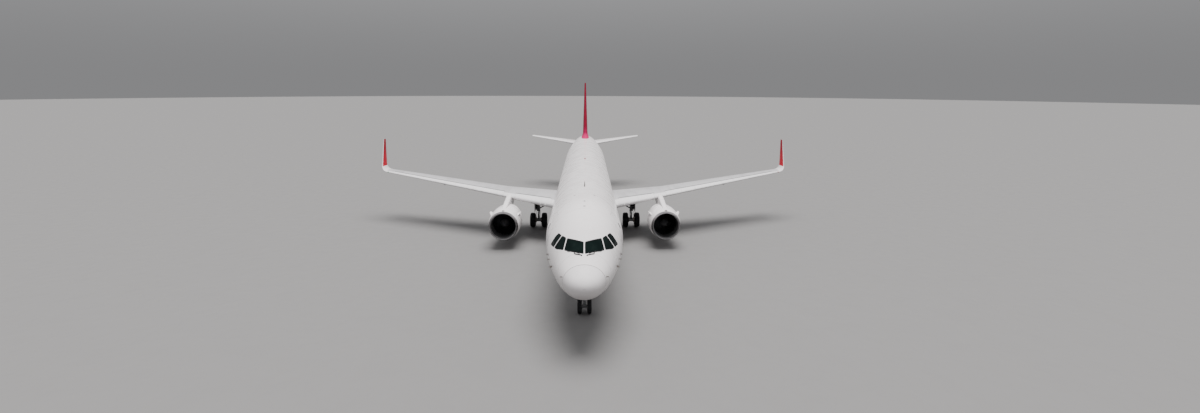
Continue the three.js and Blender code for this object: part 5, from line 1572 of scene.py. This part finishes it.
def tyre_shape(wheel):
    rim, width = wheel["rim"], wheel["width"]
    height = wheel["radius"] - rim
    curve = smooth([(along * width / 2, rim + up * height) for along, up in TYRE_SHAPE], 8)
    tread = curve[:, 1] > rim + TREAD_GROOVES["above"] * height
    for centre in TREAD_GROOVES["centres"]:
        on_groove = np.abs(curve[:, 0] - centre * width) < TREAD_GROOVES["half"] * width
        curve[on_groove & tread, 1] -= TREAD_GROOVES["depth"] * height
    return turned([*curve, curve[0]], 84, "X")


def wheel_half(wheel, sign):
    """One rim with its hub, holes and bolts, on the side away from the leg."""
    level = {end: (wheel["spacing"] + half * wheel["rim_width"]) / 2
             for end, half in (("inner", -1), ("dish", 1 - 2 * DISH), ("outer", 1))}
    profile = [(level[end] + along, share * wheel[radius] + extra)
               for end, along, radius, share, extra in RIM_PROFILE]
    parts = [turned(profile, 64, "X")]
    for count, steps, radius, share, end, low, high, size, sides, paint in RIM_RINGS:
        for y, z in circle(count, share * wheel[radius], steps):
            parts.append(rod((level[end] + low, y, z), (level[end] + high, y, z), size * wheel[radius],
                             segments=sides, paint=paint))
    return together(parts).scaled(sign, 1, 1)


def show_wheels(name, wheel, x, y, node, tyres, body):
    place = (x, y, wheel["radius"])
    half = wheel["spacing"] / 2
    axle = rod((-half, 0, 0), (half, 0, 0), wheel["axle"], segments=40)
    rims = together([axle, wheel_half(wheel, 1), wheel_half(wheel, -1)]).moved(*place)
    show(f"{name}_rims", rims, [WHEEL_METAL, SEAL, CHROME], "wheel_metal", body, [node], angle=30)
    for end, tyre in zip((-1, 1), tyres):
        tread = tyre_shape(wheel).moved(*place).moved(end * half)
        show(f"{tyre}_tread", tread, TYRE, "tyre_rubber", body, [tyre], angle=45)


def axle_boss(wheel, leg, x, y):
    bore, half, radius = wheel["axle"] + AXLE_PLAY, leg["boss_length"] / 2, leg["boss"]
    shoulder = radius - BOSS_CHAMFER
    profile = [(-half, bore), (-half, shoulder), (BOSS_CHAMFER - half, radius), (half - BOSS_CHAMFER, radius),
               (half, shoulder), (half, bore), (-half, bore)]
    return turned(profile, 48, "X").moved(x, y, wheel["radius"])


def leg_piston(wheel, leg, x, y):
    foot = wheel["radius"] + leg["boss"] - PISTON_FOOT
    return rod((x, y, foot), (x, y, leg["split"]), leg["piston"], segments=leg["sides"], paint=SECOND)


def leg_rods(rows, x, y, sign=1):
    place = lambda point: (x + sign * point[0], y + point[1], point[2])
    return [rod(place(start), place(end), radius, segments=sides) for start, end, radius, sides in rows]


def collars(rows, x, y):
    rings = []
    for height, radius, depth in rows:
        inner = radius - COLLAR_DEPTH
        profile = [(-depth / 2, inner), (-depth / 2, radius), (depth / 2, radius), (depth / 2, inner)]
        rings.append(turned(profile, 40, "Z").moved(x, y, height))
    return rings


def torque_link(x, y, start, end, wide, narrow, thickness):
    """Two flat arms that come together toward the end, with a pin at each end."""
    start, end = np.array([(x, y + start[0], start[1]), (x, y + end[0], end[1])], float)
    _, along_y, along_z = (end - start) / np.linalg.norm(end - start)
    across = np.array([0, -along_z, along_y])
    ends = ((start, wide, LINK["start"] * thickness), (end, narrow, LINK["end"] * thickness))
    corners = ((-1, -1), (1, -1), (1, 1), (-1, 1))
    parts = []
    for side in (-1, 1):
        parts.append(loft([[point + (side * spread + out * thickness, 0, 0) + across * (up * half)
                            for out, up in corners] for point, spread, half in ends]))
    for point, spread, _ in ends:
        reach = (spread + LINK["pin_reach"] * thickness, 0, 0)
        parts.append(rod(point - reach, point + reach, LINK["pin"] * thickness, segments=24))
    return together(parts)


def brake_parts(x, y, end):
    """The brake beside one wheel, and its ring of pistons."""
    height = MAIN_WHEEL["radius"]
    out = x + end * ((MAIN_WHEEL["spacing"] - MAIN_WHEEL["rim_width"]) / 2 - BRAKE["inset"])
    parts = [turned(BRAKE["profile"], 40, "X", THIRD).moved(out, y, height)]
    near = x + end * (MAIN_LEG["boss_length"] / 2 + BRAKE["gap"])
    far = near + end * BRAKE["length"]
    for behind, up in circle(BRAKE["pistons"], BRAKE["circle"]):
        parts.append(rod((near, y + behind, height + up), (far, y + behind, height + up), BRAKE["piston"],
                         segments=12, paint=THIRD))
    return parts


def show_main_gear():
    leg, wheel, y = MAIN_LEG, MAIN_WHEEL, aft(MAIN_GEAR_STATION)
    for side, sign in SIDES:
        x = sign * MAIN_GEAR_OUT
        parts = [axle_boss(wheel, leg, x, y), *leg_rods(MAIN_RODS, x, y, sign), *collars(MAIN_COLLARS, x, y)]
        parts += [torque_link(x, y, *row) for row in MAIN_LINKS]
        parts += [*brake_parts(x, y, -1), *brake_parts(x, y, 1), leg_piston(wheel, leg, x, y)]
        show(f"main_strut_{side}", together(parts), [SHADED_GEAR_PAINT, CHROME, HOT_METAL], "gear_steel",
             replaced=[f"main_leg_{side}"], bevel=4)
        hoses = []
        for turn, radius in MAIN_HOSES:
            out, ahead = math.sin(turn), math.cos(turn)
            knots = [(x + (MAIN_HOSE_RING + bow) * out, y - MAIN_HOSE_RING * ahead + behind, height)
                     for bow, behind, height in MAIN_HOSE_KNOTS]
            hoses.append(tube(smooth(knots), radius, 10))
        hoses += [*collars(HOSE_CLIPS, x, y), *leg_rods(DOOR_RODS, x, y, sign)]
        show(f"main_hoses_{side}", together(hoses), SEAL, "gear_steel")
        show_leg_door(side, sign, x, y)
        tyres = [f"main_tyre_{side}_{place}" for place in ("inner", "outer")][::sign]
        show_wheels(f"main_{side}", wheel, x, y, f"main_wheels_{side}", tyres, f"main_wheel_pair_{side}")


def door_ribs(rows, face, y, sign):
    return [block((face - sign * depth, y + front, low), (face + sign * RIB_FOOT, y + back, high))
            for depth, front, back, low, high in rows]


def show_leg_door(side, sign, x, y):
    face = x + sign * (MAIN_LEG["radius"] + LEG_DOOR["stand_off"])
    outline = rounded(LEG_DOOR["outline"], LEG_DOOR["rounding"], 5, 400) + (y, 0)
    panel = prism(outline, "X", face, face + sign * LEG_DOOR["thickness"], SECOND)
    panel.paints[-1] = FIRST
    start = x + sign * (MAIN_LEG["radius"] - LEG_DOOR["sunk"])
    parts = [rod((start, y, height), (face, y, height), LEG_DOOR["bracket"], segments=24)
             for height in LEG_DOOR["brackets"]]
    parts += door_ribs(LEG_DOOR_RIBS, face, y, sign)
    show(f"main_door_{side}", panel, [WHITE, SHADED_GEAR_PAINT], "white_paint",
         replaced=[f"main_leg_door_{side}"], bevel=8)
    show(f"main_door_ribs_{side}", together(parts), SHADED_GEAR_PAINT, "gear_steel", bevel=3)


def show_nose_gear():
    leg, wheel, tow, y = NOSE_LEG, NOSE_WHEEL, TOW_FITTING, aft(NOSE_GEAR_STATION)
    half, tall = tow["width"] / 2, tow["height"] / 2
    fitting = block((-half, -tow["ahead"], -tall), (half, PISTON_FOOT - leg["boss"], tall))
    parts = [axle_boss(wheel, leg, 0, y), *[torque_link(0, y, *row) for row in NOSE_LINKS],
             *collars(FORK_COLLARS, 0, y), leg_piston(wheel, leg, 0, y), fitting.moved(0, y, wheel["radius"])]
    show("nose_fork_strut", together(parts), [SHADED_GEAR_PAINT, CHROME], "gear_steel",
         "nose_steering", ["nose_fork"])
    parts = [*leg_rods(NOSE_RODS, 0, y), *collars(NOSE_COLLARS, 0, y)]
    lights = []
    hoses = []
    for sign in (-1, 1):
        parts += leg_rods(NOSE_SIDE_RODS, 0, y, sign)
        out, behind, height = TAXI_LIGHT["place"]
        for profile, paint in ((TAXI_LIGHT["case"], FIRST), (TAXI_LIGHT["lens"], SECOND)):
            lights.append(turned(profile, 32, "Y", paint).moved(sign * out, y + behind, height))
        knots = [(sign * out, y + behind, height) for out, behind, height in NOSE_HOSE_KNOTS]
        hoses.append(tube(smooth(knots), NOSE_HOSE_RADIUS, 10))
    show("nose_strut", together(parts), SHADED_GEAR_PAINT, "gear_steel", replaced=["nose_leg"], bevel=3)
    show("taxi_lights", together(lights), [SHADED_GEAR_PAINT, WHITE_LAMP], "gear_steel")
    show("nose_hoses", together(hoses), SEAL, "gear_steel")
    for side, sign in SIDES:
        face = sign * NOSE_DOOR["out"]
        outline = rounded(NOSE_DOOR["outline"], NOSE_DOOR["rounding"], 5, 300) + (y, 0)
        panel = prism(outline, "X", face, face + sign * NOSE_DOOR["thickness"])
        show(f"nose_door_{side}", panel, WHITE, "white_paint", replaced=[f"nose_gear_door_{side}"], bevel=6)
        ribs = together(door_ribs(NOSE_DOOR_RIBS, face, y, sign))
        show(f"nose_door_ribs_{side}", ribs, BAY_PAINT, "white_paint", bevel=2)
    show_wheels("nose", wheel, 0, y, "nose_wheels", ("nose_tyre_right", "nose_tyre_left"), "nose_wheel_pair")


def on_skin(shape, station, girth, sunk):
    """A shape that stands on the origin, set upright on the fuselage's skin."""
    turn = Matrix.Rotation(math.pi / 2 - girth / BARREL_RADIUS, 4, "Y")
    return shape.placed(turn).moved(*spot_on(skin(), station, girth, -sunk))


def blade_antenna(station, girth, height, chord):
    rings = []
    for share, size in BLADE["levels"]:
        level, half = share * height, size * chord / 2
        rings.append([(2 * BLADE["width"] * out, BLADE["lean"] * level + behind, level)
                      for out, behind in circle(16, half)])
    return on_skin(loft(rings), station, girth, BLADE["sunk"])


def dome(station, girth, radius, height, paint=FIRST):
    angles = np.linspace(0, math.pi / 2, 9)
    profile = [(height * math.sin(angle), max(radius * math.cos(angle), 0.5)) for angle in angles]
    return on_skin(turned([(-10, radius), *profile], 32, "Z", paint), station, girth, DOME_SUNK)


def air_probes(sign):
    """The probes and the wind vane on one side of the nose."""
    probes = []
    for station, height, reach in PROBES:
        foot = spot_on(flank(sign), station, height, -PROBE["sunk"])
        neck = foot + (sign * PROBE["out"], 0, 0)
        back, tip = neck + (0, PROBE["back"], 0), neck + (sign * PROBE["splay"], -reach, 0)
        probes.append(rod(foot, neck, PROBE["foot"], PROBE["neck"]))
        probes.append(rod(back, tip, PROBE["tube"], PROBE["tip"], segments=14))
    x, y, z = spot_on(flank(sign), WIND_VANE["station"], WIND_VANE["height"])
    out, ahead, behind, half = WIND_VANE["block"]
    probes.append(turned(WIND_VANE["profile"], 32, "X").scaled(sign, 1, 1).moved(x, y, z))
    probes.append(block((x, y - ahead, z - half), (x + sign * out, y + behind, z + half)))
    return probes


def wipers(sign):
    parts = []
    for route, lift, radius in WIPERS:
        station, out = np.array(route, float).T
        girth = np.arccos(out / section_values(station)[0]) * BARREL_RADIUS
        parts.append(tube(smooth(skin(sign)(station, girth, lift), 5), radius))
    station, out = WIPER_ARM[0]
    parts.append(dome(station, crown_girth(station, sign * out), *WIPER_PIVOT))
    return parts


def crown_girth(station, out):
    """The girth of a point on the crown at a distance out from the middle."""
    return math.acos(out / float(section_values(station)[0])) * BARREL_RADIUS


def show_fittings():
    blades = [blade_antenna(station, -TOP_GIRTH, height, chord) for station, height, chord in BELLY_BLADES]
    show("antennas", together(blades), WHITE, "white_paint")
    station, height, chord = CROWN_BLADE
    crown = [blade_antenna(station, TOP_GIRTH, height, chord)]
    crown += [dome(station, crown_girth(station, out), radius, CROWN_DOME_HEIGHT, SECOND)
              for station, out, radius in CROWN_DOMES]
    show("crown_fittings", together(crown), [HOT_METAL, SEAL], "bare_metal")
    beacons = [dome(station, girth, BEACON["radius"], BEACON["height"])
               for station, girth in ((BEACON["top"], TOP_GIRTH), (BEACON["bottom"], -TOP_GIRTH))]
    show("beacons", together(beacons), RED_LAMP, "cockpit_glass")
    show("air_probes", together(air_probes(-1) + air_probes(1)), HOT_METAL, "bare_metal", bevel=2)
    show("wipers", together(wipers(1) + wipers(-1)), SEAL, "cockpit_glass")
    for side, sign in SIDES:
        show_wing_fittings(side, sign)


def wick(sections, sign, out, reach):
    row = section_at(sections, OUT, out)
    foot = np.array([sign * out, aft(row[TRAILING]) - WICK["ahead"], row[UP]])
    return rod(foot, foot + reach, WICK["radius"], WICK["tip"], segments=8)


def edge_place(out, light, sign):
    """A place on the wing's leading edge."""
    row = section_at(WING_SECTIONS, OUT, out)
    return sign * out, aft(row[LEADING]) + light["behind"], row[UP] + light["above"]


def show_wing_fittings(side, sign):
    pod = turned(NAV_LIGHT["profile"], 28, "Y").scaled(*NAV_LIGHT["shape"])
    show(f"nav_light_{side}", pod.moved(*edge_place(NAV_LIGHT["out"], NAV_LIGHT, sign)),
         RED_LAMP if sign > 0 else GREEN_LAMP, "cockpit_glass")
    lamp_shape = turned(LANDING_LIGHTS["profile"], 32, "Y")
    lamps = [lamp_shape.moved(*edge_place(out, LANDING_LIGHTS, sign)) for out in LANDING_LIGHTS["outs"]]
    show(f"landing_lights_{side}", together(lamps), WHITE_LAMP, "cockpit_glass")
    _, _, start, end, _, _ = AILERON
    outs = np.linspace(WING_WICKS["first"], WING_WICKS["last"], WING_WICKS["count"])
    wicks = [wick(WING_SECTIONS, sign, out, WING_WICKS["reach"]) for out in outs
             if not start - WICK["clear"] < out < end + WICK["clear"]]
    wicks.append(wick(STABILIZER_SECTIONS, sign, TAIL_WICK["out"], TAIL_WICK["reach"]))
    show(f"static_wicks_{side}", together(wicks), SEAL, "wing_grey")
    underside = wing_skin(WING_SECTIONS, CAMBER, sign, -1)
    covers = []
    for out in np.arange(TANK_COVERS["first"], TANK_COVERS["end"], TANK_COVERS["pitch"]):
        if abs(out - ENGINE_OUT) >= TANK_COVERS["clear"]:
            oval = ellipse(out, chord_station(out, TANK_COVERS["chord"]), *TANK_COVERS["size"])
            covers.append(band(underside, rounded(oval, 10, 2, 200), TANK_COVERS["line"], 2, -4))
    show(f"tank_covers_{side}", together(covers), FRAME_GREY, "wing_grey")


def ellipse(u, v, half_u, half_v, count=28):
    return [(u + half_u * cosine, v + half_v * sine) for sine, cosine in circle(count)]


def show_stage():
    level = lambda x, y, z: np.stack([x, y, np.full_like(x, z)], -1)
    outline = ellipse(0, 0, FLOOR["reach"], FLOOR["reach"], FLOOR["points"])
    floor = new_object("floor", patch(level, outline, 0, -FLOOR["thickness"], FLOOR["rings"]))
    floor.data.materials.clear()
    floor.data.materials.append(FLOOR_MATERIAL)


def show_lights():
    world = bpy.data.worlds.new("overcast")
    world.use_nodes = True
    tree = world.node_tree
    place = tree.nodes.new("ShaderNodeTexCoord")
    axes = tree.nodes.new("ShaderNodeSeparateXYZ")
    rise = tree.nodes.new("ShaderNodeMapRange")
    rise.interpolation_type = "SMOOTHSTEP"
    levels = {"From Min": 0.0, "From Max": SKY["rise"], "To Min": SKY["low"], "To Max": SKY["top"]}
    for key, value in levels.items():
        rise.inputs[key].default_value = value
    tree.nodes["Background"].inputs["Color"].default_value = SKY["colour"]
    tree.links.new(place.outputs["Generated"], axes.inputs[0])
    tree.links.new(axes.outputs["Z"], rise.inputs["Value"])
    tree.links.new(rise.outputs[0], tree.nodes["Background"].inputs["Strength"])
    bpy.context.scene.world = world
    data = bpy.data.lights.new("soft_light", "SUN")
    data.energy = SOFT_LIGHT["strength"]
    data.angle = math.radians(SOFT_LIGHT["angle"])
    data.color = SOFT_LIGHT["colour"]
    light = bpy.data.objects.new("soft_light", data)
    light.visible_glossy = False
    light.rotation_euler = [math.radians(turn) for turn in SOFT_LIGHT["turn"]]
    bpy.context.scene.collection.objects.link(light)


def show_camera():
    pitch, yaw, roll = [math.radians(CAMERA[key]) for key in ("pitch", "yaw", "roll")]
    data = bpy.data.cameras.new("photo_camera")
    data.lens = CAMERA["lens"]
    data.sensor_width = CAMERA["sensor"]
    data.shift_y = CAMERA["shift_y"]
    data.clip_end = CAMERA["far"]
    camera = bpy.data.objects.new("photo_camera", data)
    heading, tilt = Matrix.Rotation(-yaw, 4, "Z"), Matrix.Rotation(math.pi / 2 - pitch, 4, "X")
    turn = heading @ tilt @ Matrix.Rotation(-roll, 4, "Z")
    camera.matrix_world = Matrix.Translation(CAMERA["place"]) @ turn
    bpy.context.scene.collection.objects.link(camera)
    bpy.context.scene.camera = camera


WHITE = white_paint()
RADOME = radome_paint()
GREY = wing_paint()
SLAT = painted("slat_grey", (0.74, 0.73, 0.735), 0.32, 0.2, [("x", 0.9, 0.2, 0.003)], coat=0.15).material
TAIL_WHITE = painted("tail_white", (0.74, 0.73, 0.73), 0.3, 0.3, [("x", 0.7, 0.35, 0.003)]).material
FIN = fin_paint()
RED = winglet_paint()
COCKPIT_GLASS = glass("cockpit_glass", (0.003, 0.007, 0.0065))
CABIN_GLASS = glass("cabin_glass", (0.008, 0.010, 0.012), 0.12)
SHADE = painted("window_shade", (0.55, 0.54, 0.52), 0.5, 0.4, coat=0.4).material
LIP_METAL = lip_metal()
LIP_INSIDE = metal("lip_inside", (0.50, 0.49, 0.495), 0.55, 18.0, 0.05).material
HOT_METAL = metal("hot_metal", (0.27, 0.235, 0.21), 0.38, 60.0, 0.6, (1.0, 0.15, 1.0), SOOT).material
# The spinner is near black: painted shade deep in the inlet.
SHADED_SPINNER_PAINT = painted("shaded_spinner_paint", (0.05, 0.05, 0.053), 0.4, 0.5, coat=0.1).material
FAN_METAL = metal("fan_metal", (0.09, 0.093, 0.10), 0.30, 70.0, 0.3).material
WHEEL_METAL = metal("wheel_metal", (0.50, 0.51, 0.52), 0.36, 90.0, 0.5).material
CHROME = metal("chrome", (0.72, 0.73, 0.74), 0.12, 120.0, 0.15).material
# The gear's enamel is near black, far darker than its real light grey: painted shade.
SHADED_GEAR_PAINT = painted("shaded_gear_enamel", (0.16, 0.163, 0.167), 0.38, 0.6, coat=0.15).material
BAY_PAINT = painted("bay_primer", (0.36, 0.38, 0.36), 0.55, 0.9, coat=0.0).material
SEAL = rubber("dark_seal", (0.012, 0.012, 0.013), 0.6)
TYRE = rubber("tyre_rubber", (0.014, 0.014, 0.015))
FRAME_GREY = painted("window_frame", (0.38, 0.38, 0.39), 0.45, 0.4, coat=0.0).material
# The duct's lining is near black: painted shade inside the nacelle.
SHADED_LINER = painted("shaded_duct_liner", (0.06, 0.06, 0.062), 0.5, 0.5, [("y", 0.20, 0.05, 0.003)], coat=0.0).material
RED_LAMP = lamp("red_lamp", (0.30, 0.008, 0.008), 0.15)
GREEN_LAMP = lamp("green_lamp", (0.0, 0.22, 0.09), 0.15)
WHITE_LAMP = lamp("white_lamp", (0.75, 0.75, 0.72), 0.4)
FLOOR_MATERIAL = painted("pale_floor", (0.19, 0.188, 0.186), 0.75, 0.2, coat=0.0).material

show_fuselage()
show_cockpit()
show_passenger_doors()
show_cargo_doors()
show_belly()
show_wings()
show_tail()
show_engines()
show_main_gear()
show_nose_gear()
show_fittings()
show_stage()
show_lights()
show_camera()
